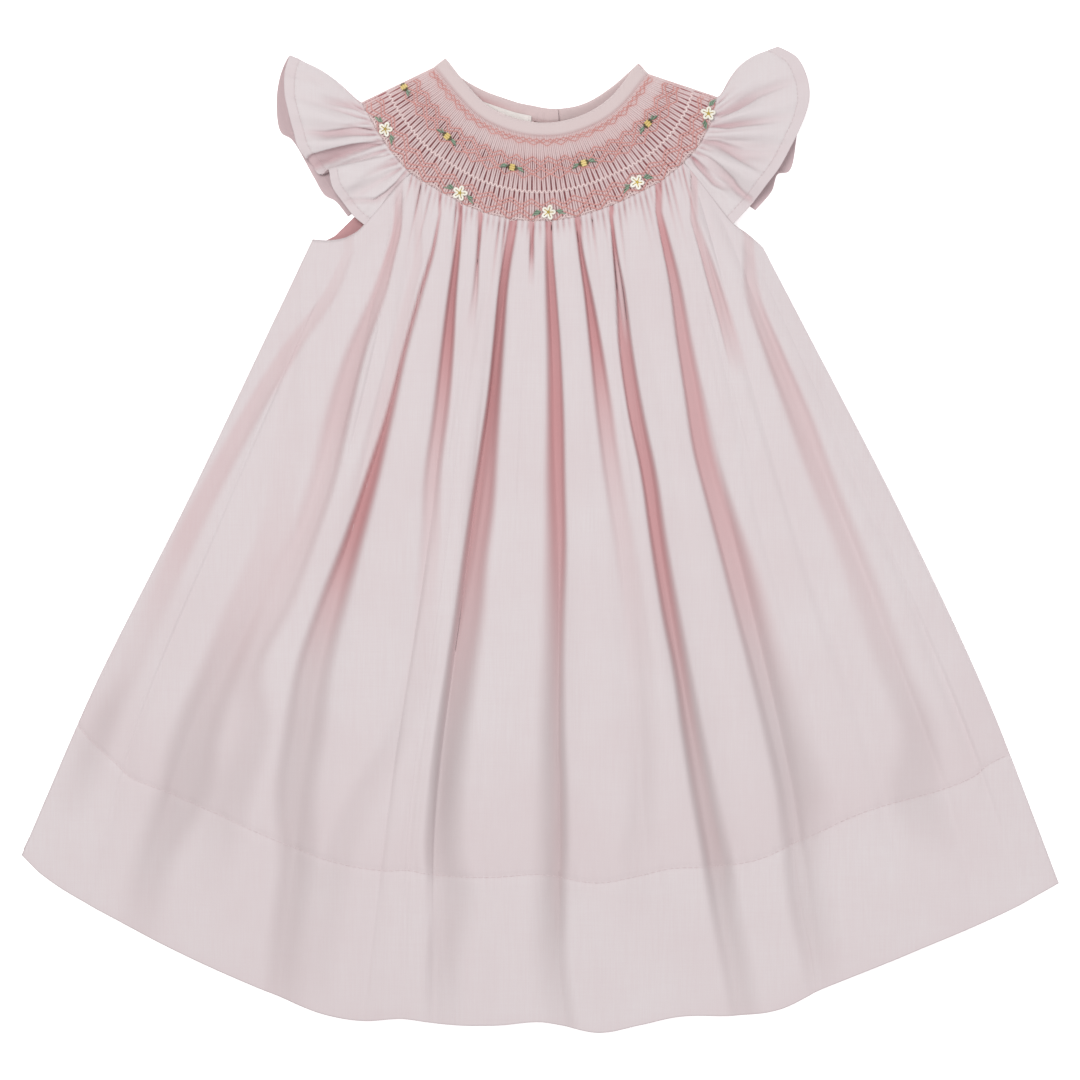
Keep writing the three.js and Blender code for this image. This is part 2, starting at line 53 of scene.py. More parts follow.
def tune(node, **values):
    """Sets inputs of a node. Their names have _ for each space."""
    for name, value in values.items():
        node.inputs[name.replace("_", " ")].default_value = value


def look_at_dress():
    camera = bpy.data.cameras.new("camera")
    camera.lens = 120
    camera.sensor_width = 36
    camera.clip_start = 0.05
    camera.clip_end = 20
    held = placed("camera", camera)
    held.location = (0, 0, 1.698)
    bpy.context.scene.camera = held


def area_light(name, place, size, power, colour):
    """A round light that faces the middle of the dress."""
    light = bpy.data.lights.new(name, "AREA")
    light.shape = "DISK"
    light.size = size
    light.energy = power
    light.color = colour
    held = placed(name, light)
    held.location = place
    away = -np.array(place, float)
    yaw = math.atan2(away[1], away[0]) - math.pi / 2
    tilt = math.atan2(math.hypot(away[0], away[1]), -away[2])
    held.rotation_euler = (tilt, 0, yaw)


def studio():
    scene = bpy.context.scene
    scene.view_settings.view_transform = "Standard"
    scene.view_settings.look = "None"
    scene.world = bpy.data.worlds.new("studio")
    scene.world.use_nodes = True
    tune(scene.world.node_tree.nodes["Background"], Color=(1, 0.985, 0.985, 1), Strength=0.55)
    area_light("key", (-0.4, 0.45, 1.7), 0.8, 17, (1, 0.99, 0.985))
    area_light("fill", (1.0, -0.6, 1.3), 1.0, 6.2, (0.98, 0.985, 1))
    paper, _, shader = nodes_of("paper", 0.9)
    tune(shader, Base_Color=(0.93, 0.93, 0.93, 1), Emission_Color=(1, 1, 1, 1), Emission_Strength=0.5)
    mesh = bpy.data.meshes.new("floor")
    corners = [(x, y, FLOOR_Z) for x, y in ((-3, -3), (3, -3), (3, 3), (-3, 3))]
    mesh.from_pydata(corners, [], [(0, 1, 2, 3)])
    mesh.materials.append(paper)
    placed("floor", mesh)


# Materials

SHADED = (158, 150, 150)


def srgb(red, green, blue):
    linear = [v / 255 / 12.92 if v <= 10 else ((v / 255 + 0.055) / 1.055) ** 2.4 for v in (red, green, blue)]
    return (*linear, 1)


def nodes_of(name, roughness):
    material = bpy.data.materials.new(name)
    material.use_nodes = True
    tree = material.node_tree
    shader = tree.nodes["Principled BSDF"]
    tune(shader, Roughness=roughness)
    return material, tree, shader


def mix_colours(tree, share, low, high):
    mix = tree.nodes.new("ShaderNodeMix")
    mix.data_type = "RGBA"
    for socket, value in (("Factor", share), ("A", low), ("B", high)):
        target = next(s for s in mix.inputs if s.name == socket and s.type in ("VALUE", "RGBA") and s.enabled)
        if isinstance(value, bpy.types.NodeSocket):
            tree.links.new(value, target)
        else:
            target.default_value = value
    return next(s for s in mix.outputs if s.type == "RGBA")


def noise(tree, coordinate, scale, detail):
    texture = tree.nodes.new("ShaderNodeTexNoise")
    tune(texture, Scale=scale, Detail=detail)
    tree.links.new(coordinate, texture.inputs["Vector"])
    return texture.outputs["Fac"]


def remap(tree, value, low, high, to_low, to_high):
    node = tree.nodes.new("ShaderNodeMapRange")
    tune(node, From_Min=low, From_Max=high, To_Min=to_low, To_Max=to_high)
    tree.links.new(value, node.inputs["Value"])
    return node.outputs["Result"]


def wave(tree, coordinate, direction, pitch, distortion, detail):
    """Bands across a direction, pitch in millimetres."""
    bands = tree.nodes.new("ShaderNodeTexWave")
    bands.bands_direction = direction
    tune(bands, Scale=2 * math.pi / (20 * pitch * MM), Distortion=distortion, Detail=detail)
    tree.links.new(coordinate, bands.inputs["Vector"])
    return bands.outputs["Fac"]


def weave_height(tree, coordinate, pitch):
    """Over-and-under threads of a plain weave."""
    height = tree.nodes.new("ShaderNodeMath")
    height.operation = "MULTIPLY"
    for direction, socket in zip("XY", height.inputs):
        tree.links.new(wave(tree, coordinate, direction, pitch, 0.6, 1), socket)
    return height.outputs["Value"]


def bumped(tree, shader, height, strength, distance):
    bump = tree.nodes.new("ShaderNodeBump")
    tune(bump, Strength=strength, Distance=distance * MM)
    tree.links.new(height, bump.inputs["Height"])
    tree.links.new(bump.outputs["Normal"], shader.inputs["Normal"])


def cloth_material(name, lit, deep, doubled, pitch=0.34):
    """Fine cotton, pinker where it lies double. Painted shade makes it pinker in its folds and greyer where
    it is shaded.
    """
    material, tree, shader = nodes_of(name, 0.82)
    tune(shader, Sheen_Weight=0.25, Sheen_Roughness=0.5, Sheen_Tint=(1, 0.93, 0.94, 1))
    tune(shader, Specular_IOR_Level=0.25)
    doubled = srgb(*doubled)
    place = tree.nodes.new("ShaderNodeTexCoord").outputs["Object"]
    cloud = remap(tree, noise(tree, place, 28, 3), 0.3, 0.7, 0.0, 0.35)
    colour = mix_colours(tree, cloud, srgb(*lit), doubled)
    for stretch, most in (((2200, 60, 300), 0.32), ((60, 2200, 300), 0.18)):
        mapping = tree.nodes.new("ShaderNodeMapping")
        tune(mapping, Scale=stretch)
        tree.links.new(place, mapping.inputs["Vector"])
        streak = remap(tree, noise(tree, mapping.outputs["Vector"], 1, 1), 0.35, 0.75, 0.0, most)
        colour = mix_colours(tree, streak, colour, doubled)
    # Mixed in last: the double-cloth tint, the pink painted shade of folds and hollows, and the grey painted
    # shade.
    for attribute, other in (("doubled", doubled), ("deep", srgb(*deep)), ("shaded", srgb(*SHADED))):
        read = tree.nodes.new("ShaderNodeAttribute")
        read.attribute_name = attribute
        colour = mix_colours(tree, read.outputs["Fac"], colour, other)
    tree.links.new(colour, shader.inputs["Base Color"])
    blend = tree.nodes.new("ShaderNodeMath")
    blend.operation = "MULTIPLY_ADD"
    tree.links.new(weave_height(tree, place, pitch), blend.inputs[0])
    blend.inputs[1].default_value = 0.7
    tree.links.new(noise(tree, place, 900, 2), blend.inputs[2])
    bumped(tree, shader, blend.outputs["Value"], 0.35, 0.08)
    return material


def thread_material(name, light, dark):
    """Stranded embroidery cotton: fine twisted plies and a soft gloss."""
    material, tree, shader = nodes_of(name, 0.55)
    tune(shader, Sheen_Weight=0.4, Sheen_Roughness=0.4)
    place = tree.nodes.new("ShaderNodeTexCoord").outputs["Object"]
    patch = remap(tree, noise(tree, place, 160, 2), 0.3, 0.75, 0.0, 1.0)
    tree.links.new(mix_colours(tree, patch, srgb(*light), srgb(*dark)), shader.inputs["Base Color"])
    bumped(tree, shader, wave(tree, place, "DIAGONAL", 0.5, 2.5, 2), 0.5, 0.1)
    return material


def pearl_material():
    material, tree, shader = nodes_of("pearl_button", 0.22)
    tune(shader, Coat_Weight=0.6, Coat_Roughness=0.12)
    place = tree.nodes.new("ShaderNodeTexCoord").outputs["Object"]
    swirl = remap(tree, noise(tree, place, 320, 4), 0.35, 0.65, 0, 1)
    colour = mix_colours(tree, swirl, srgb(248, 240, 238), srgb(238, 218, 218))
    tree.links.new(colour, shader.inputs["Base Color"])
    return material


# Meshes

class Bundle:
    """Points and faces of many small parts that make one mesh."""

    def __init__(self):
        self.points, self.faces, self.count = [], [], 0

    def add(self, points, faces):
        self.points.append(points)
        self.faces.extend([[i + self.count for i in face] for face in faces])
        self.count += len(points)

    def all_points(self):
        return np.concatenate(self.points)

    def made(self, name, material, slot):
        return piece(name, self.all_points(), self.faces, material)


def piece(name, points, faces, material, attributes=None):
    mesh = bpy.data.meshes.new(name)
    mesh.from_pydata((points * MM).tolist(), [], faces)
    mesh.shade_smooth()
    for key, values in (attributes or {}).items():
        layer = mesh.attributes.new(key, "FLOAT", "POINT")
        layer.data.foreach_set("value", np.asarray(values, np.float32))
    mesh.materials.append(material)
    made = placed(name, mesh)
    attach(made, "root")
    return made


def wall(outer, inner, inner_rows):
    """A closed wall from a grid of points and one under it, which has only the rows named in inner_rows."""
    rows, columns = outer.shape[:2]
    points = np.concatenate((outer.reshape(-1, 3), inner.reshape(-1, 3)))
    over = np.arange(rows * columns).reshape(rows, columns)
    under = rows * columns + np.arange(len(inner_rows) * columns).reshape(-1, columns)
    quads = [
        np.stack((over[:-1, :-1], over[1:, :-1], over[1:, 1:], over[:-1, 1:]), -1).reshape(-1, 4),
        np.stack((under[:-1, :-1], under[:-1, 1:], under[1:, 1:], under[1:, :-1]), -1).reshape(-1, 4),
        np.stack((over[0, :-1], over[0, 1:], under[0, 1:], under[0, :-1]), -1),
        np.stack((over[-1, :-1], under[-1, :-1], under[-1, 1:], over[-1, 1:]), -1),
    ]
    faces = np.concatenate(quads).tolist()
    for column, flip in ((0, False), (columns - 1, True)):
        for j in range(len(inner_rows) - 1):
            first, last = inner_rows[j], inner_rows[j + 1]
            ring = [over[first, column], under[j, column], under[j + 1, column]]
            ring += [over[r, column] for r in range(last, first, -1)]
            faces.append([int(i) for i in (ring[::-1] if flip else ring)])
    return points, faces


def cloth(name, node, outer, inner, material, slot, inner_rows=None, **shades):
    """A wall of cloth in place of a solid's node. shades gives each attribute's outer and inner values."""
    points, faces = wall(outer, inner, inner_rows or list(range(len(outer))))
    attributes = {}
    for key, pair in shades.items():
        both = [np.broadcast_to(value, side.shape[:2]).ravel() for value, side in zip(pair, (outer, inner))]
        attributes[key] = np.concatenate(both)
    made = piece(name, points, faces, material, attributes)
    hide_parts(node)
    return made


def with_height(plan, z):
    return np.concatenate((plan, z[..., None]), -1)


def unit(vectors):
    return vectors / np.maximum(np.linalg.norm(vectors, axis=-1, keepdims=True), 1e-9)


def normals(grid):
    """Unit normals of a grid whose rows run down and columns run right, facing up."""
    return unit(np.cross(np.gradient(grid, axis=0), np.gradient(grid, axis=1)))


def rings(path, along, radius, sides):
    """Points of a ring round each point of a path, and their numbers. radius may differ along the path."""
    side = unit(np.cross(unit(along), (0, 0, 1.0)))
    up = np.cross(side, unit(along))
    turn = np.arange(sides) * 2 * math.pi / sides
    ring = np.cos(turn)[None, :, None] * side[:, None] + np.sin(turn)[None, :, None] * up[:, None]
    points = path[:, None] + ring * np.broadcast_to(radius, len(path))[:, None, None]
    return points.reshape(-1, 3), np.arange(len(path) * sides).reshape(-1, sides)


def tube(path, radius, sides=6):
    """A round thread along a path, with closed ends."""
    path = np.asarray(path, float)
    points, index = rings(path, np.gradient(path, axis=0), radius, sides)
    after = np.roll(index, -1, axis=1)
    faces = np.stack((index[:-1], index[1:], after[1:], after[:-1]), -1).reshape(-1, 4).tolist()
    return points, faces + [index[0].tolist(), index[-1][::-1].tolist()]


def ring_tube(path, radius, sides=6):
    """A thread that closes on itself, such as a petal."""
    points, index = rings(path, np.roll(path, -1, axis=0) - np.roll(path, 1, axis=0), radius, sides)
    onward = np.roll(index, -1, axis=0)
    faces = np.stack((index, onward, np.roll(onward, -1, axis=1), np.roll(index, -1, axis=1)), -1)
    return points, faces.reshape(-1, 4).tolist()


# The same curves as the part's source

def lerp(a, b, t):
    return a + (b - a) * t


def ease(value, low, high):
    t = np.clip((value - low) / (high - low), 0, 1)
    return t * t * (3 - 2 * t)


def bell(value, width):
    return np.exp(-np.square(value / width))


def through(stations, values, at):
    """A smooth value through a few stations, for each number in at. values may have more columns."""
    s = np.asarray(stations, float)
    v = np.asarray(values, float)
    flat = v.ndim == 1
    if flat:
        v = v[:, None]
    at = np.atleast_1d(np.asarray(at, float))
    last = len(s) - 1
    right = np.clip(np.searchsorted(s, at, side="right"), 1, last)
    left = right - 1
    t0, t1 = s[left], s[right]
    before = np.where(left == 0, right, left - 1)
    t_before = np.where(left == 0, t1, s[np.maximum(left - 1, 0)])
    after = np.where(right == last, left, np.minimum(right + 1, last))
    t_after = np.where(right == last, t0, s[np.minimum(right + 1, last)])
    half = (t1 - t0) / 2
    w_before = half / (t0 - t_before)
    w_after = half / (t_after - t1)
    p = np.clip((at - t0) / (t1 - t0), 0, 1)
    parts = (
        (before, -w_before * p**3 + 2 * w_before * p**2 - w_before * p),
        (left, (1 + w_before) * p**3 + (-1.5 - 2 * w_before) * p**2 + (-0.5 + w_before) * p + 1),
        (right, (-1 - w_after) * p**3 + (1.5 + w_after) * p**2 + 0.5 * p),
        (after, w_after * p**3 - w_after * p**2),
    )
    result = sum(v[index] * weight[:, None] for index, weight in parts)
    return result[:, 0] if flat else result


class Plan:
    """A curve in plan through points, by share of its length."""

    def __init__(self, *points):
        self.knots = np.array(points, float)
        self.steps = np.linspace(0, 1, 201)
        drawn = self.point(self.steps)
        self.lengths = np.concatenate(([0], np.cumsum(np.linalg.norm(np.diff(drawn, axis=0), axis=1))))
        self.length = self.lengths[-1]
        self.shares = np.linspace(0, 1, 1500)
        self.xs = self.at(self.shares)[:, 0]

    def point(self, t):
        count = len(self.knots)
        at = np.clip(t, 0, 1) * (count - 1)
        i = np.minimum(at.astype(int), count - 2)
        w = (at - i)[:, None]
        p0, p1 = self.knots[np.maximum(i - 1, 0)], self.knots[i]
        p2, p3 = self.knots[i + 1], self.knots[np.minimum(i + 2, count - 1)]
        v0, v1 = (p2 - p0) / 2, (p3 - p1) / 2
        return (2 * p1 - 2 * p2 + v0 + v1) * w**3 + (-3 * p1 + 3 * p2 - 2 * v0 - v1) * w**2 + v0 * w + p1

    def to_t(self, share):
        wanted = np.clip(np.atleast_1d(share), 0, 1) * self.length
        return np.interp(wanted, self.lengths, self.steps)

    def at(self, share):
        return self.point(self.to_t(share))

    def out(self, share):
        t = self.to_t(share)
        along = unit(self.point(t + 0.0001) - self.point(t - 0.0001))
        return np.stack((along[:, 1], -along[:, 0]), 1)

    def share_at(self, x):
        return np.interp(x, self.xs, self.shares)


CLOTH = 1.2
SEAM_GAP = 0.3
BINDING_WIDTH = 7
BINDING_THICKNESS = 2.6
PLEAT_HEIGHT = 1.5
YOKE_WALL = 2.4
BACK_YOKE = 2.4
LAP = 12
LAP_X = 3
LAPPED_CLOTH = 1.2
BUTTON_RADIUS = 4.5
BUTTON_THICKNESS = 1.8
BUTTON_YS = (196, 183, 170)

NECK = Plan(
    (-50, 222.5), (-39.5, 209), (-28, 198), (-14, 191.5), (0.5, 189),
    (14.5, 190.5), (28.5, 196), (40, 205), (51, 219.5),
)
YOKE_EDGE = Plan(
    (-84, 206), (-77, 193), (-69.5, 182), (-61, 172.5), (-52, 166.5), (-42.5, 161), (-33, 156),
    (-21, 152), (-8, 149.8), (6, 149.8), (19, 152), (32.5, 156.5), (45, 162), (58.5, 169.5),
    (67, 177), (74.5, 185.5), (80, 196), (83.5, 208.5),
)
BACK_NECK = Plan(
    (-50, 222.5), (-42, 213), (-31, 206.3), (-20, 202), (-6, 197.8), (8, 196), (24, 199.5), (38, 208),
    (51, 219.5),
)
LEFT_ARMHOLE = Plan(
    (-108, 139.5), (-101, 139), (-94, 139.8), (-87, 142.8), (-82, 147.6), (-71.6, 159.4), (-61, 171.4),
)
RIGHT_ARMHOLE = Plan((67.9, 176.5), (79, 162.3), (90.3, 147.9), (99, 141.5), (105.8, 135.5), (108.4, 129.5))
HEM = (
    (-244.6, -149.5), (-235, -158.5), (-197, -180), (-160, -198.5), (-122, -215), (-103, -222.5), (-84, -226),
    (-65, -225), (-47, -227.5), (-20, -228), (0, -226.5), (9, -228), (28, -231.5), (47, -228), (66, -224),
    (94, -223.5), (113, -220.5), (132, -211.5), (170, -196), (226, -172), (244.6, -162.5),
)
RAGLAN_LEFT = 0.19
RAGLAN_RIGHT = 0.835


def hem_y(x):
    x = np.asarray(x, float)
    return through([p[0] for p in HEM], [p[1] for p in HEM], x.ravel()).reshape(x.shape)


def dome(share):
    return np.sqrt(np.maximum(0, 1 - np.abs(2 * share - 1) ** 7))


def yoke_inside(share, down):
    return lerp(2.7, lerp(7.2, 7.6, down), dome(share))


def yoke_outside(share, down):
    level = lerp(7.2, 7.6, down) + YOKE_WALL + 0.9 * np.sin(np.pi * down)
    return lerp(3.9, level, dome(share))


def yoke_crest(share, down):
    swell = PLEAT_HEIGHT * (0.35 + 0.65 * np.minimum(1, down / 0.28))
    return yoke_outside(share, down) + swell * dome(share) - 1.5 * ease(down, 0.95, 1.02)


def yoke_plan(share, down):
    """Places on the front yoke: share along it, down from the neck (0) to the skirt (1)."""
    shape = np.broadcast(share, down).shape
    share = np.broadcast_to(share, shape)
    down = np.broadcast_to(down, shape)
    neck = NECK.at(share.ravel()) + NECK.out(share.ravel()) * SEAM_GAP
    edge = YOKE_EDGE.at(share.ravel())
    return (neck + (edge - neck) * down.ravel()[:, None]).reshape(*shape, 2)


# Front skirt

STATIONS = (0, 0.1, 0.4, 0.75, 1)
PLAN_STATIONS = (0, 0.4, 0.75, 1)
SIDE_PUSH = 0.07
MOST_STEEP = 0.55
LOWEST = CLOTH + SEAM_GAP + CLOTH / 2
STITCH_SHARE = 0.815
SKIRT_RUN = 375
HEM_RISE_LEFT = 9
HEM_RISE_RIGHT = 7
SIDE_SLOPE = 0.47
# Each valley's X on the top edge, at 0.4 and 0.75 of the way down and on the hem, then the heights of
# the valley and of the ridge to its right at the stations.
SKIRT_FOLDS = (
    (-108, -163, -213.5, -244.6, (2.1, 2.1, 2.1, 2.1, 2.1), (3.0, 4.4, 5.5, 5.0, 4.4)),
    (-93, -147, -192, -214, (3.6, 4.0, 4.6, 4.6, 4.2), (4.4, 7.0, 8.0, 7.0, 5.6)),
    (-66, -103, -166, -189, (7.0, 5.6, 4.8, 4.2, 4.0), (7.4, 11.0, 11.5, 8.6, 6.4)),
    (-52, -87, -113, -121.5, (8.6, 4.2, 2.4, 3.8, 3.8), (9.2, 11.5, 13.0, 9.6, 7.0)),
    (-36, -52, -72, -84, (8.6, 4.2, 4.8, 6.2, 4.8), (9.2, 10.5, 12.0, 9.6, 6.8)),
    (-25.5, -43, -61, -66, (8.6, 5.0, 10.5, 8.8, 6.0), (9.2, 10.5, 12.5, 10.0, 7.0)),
    (-12, -32.5, -49.5, -50, (8.6, 3.8, 2.3, 4.0, 3.8), (9.2, 10.5, 13.0, 10.4, 7.4)),
    (-4, -13, -22, -22, (8.6, 6.0, 12.0, 9.6, 6.8), (9.2, 10.5, 13.0, 10.4, 7.4)),
    (3.5, 8.5, 8.5, 9.5, (8.6, 3.6, 4.0, 5.0, 4.4), (9.2, 11.5, 13.0, 10.4, 7.6)),
    (17.5, 37, 47, 49, (8.6, 3.4, 4.8, 6.8, 4.8), (9.2, 11.5, 12.5, 10.0, 7.2)),
    (32.5, 54.5, 79, 94.5, (8.6, 3.2, 2.3, 3.6, 3.8), (9.2, 12.0, 13.5, 10.4, 7.2)),
    (54.5, 88, 118, 132, (8.6, 3.6, 2.3, 3.8, 4.0), (9.2, 11.0, 11.5, 9.4, 6.8)),
    (64, 101, 136, 156, (8.6, 6.2, 8.6, 7.6, 5.6), (9.2, 11.0, 11.0, 9.0, 6.6)),
    (71.5, 113, 157, 181, (7.4, 5.0, 5.4, 6.0, 4.8), (7.2, 9.6, 10.0, 8.0, 6.2)),
    (83, 137, 183, 209.5, (6.0, 4.8, 5.0, 4.8, 4.2), (5.8, 7.2, 8.2, 6.6, 5.4)),
    (96, 154, 202, 229, (4.2, 3.8, 4.2, 4.0, 3.8), (3.4, 4.6, 5.8, 5.2, 4.6)),
    (108.4, 169.5, 217, 244.6, (2.1, 2.1, 2.1, 2.1, 2.1), (2.1, 2.1, 2.1, 2.1, 2.1)),
)
FOLD_PLAN = np.array([row[:4] for row in SKIRT_FOLDS], float)
FOLD_FLOOR = np.array([row[4] for row in SKIRT_FOLDS]).T
FOLD_CREST = np.array([row[5] for row in SKIRT_FOLDS]).T


def skirt_top_edge(x):
    """Plan points of the front skirt's top edge: an armhole, the yoke's edge, the other armhole."""
    x = np.asarray(x, float)
    share = np.clip(YOKE_EDGE.share_at(x), RAGLAN_LEFT, RAGLAN_RIGHT)
    points = YOKE_EDGE.at(share) + YOKE_EDGE.out(share) * (SEAM_GAP + 0.1)
    for armhole in (LEFT_ARMHOLE, RIGHT_ARMHOLE):
        on = (x >= armhole.xs[0]) & (x <= armhole.xs[-1])
        points[on] = armhole.at(armhole.share_at(x[on]))
    return points


def skirt_columns(fine, coarse, hem_step):
    """Fold number and share of each column, finer under the yoke than under the armholes."""
    folds, shares = [], []
    for i in range(len(SKIRT_FOLDS) - 1):
        left, right = FOLD_PLAN[i], FOLD_PLAN[i + 1]
        step = fine if right[0] > -62 and left[0] < 68 else coarse
        count = math.ceil(max((right[0] - left[0]) / step, (right[3] - left[3]) / hem_step))
        folds += [i] * count
        shares += [j / count for j in range(count)]
    return np.array(folds + [len(SKIRT_FOLDS) - 1]), np.array(shares + [0.0])
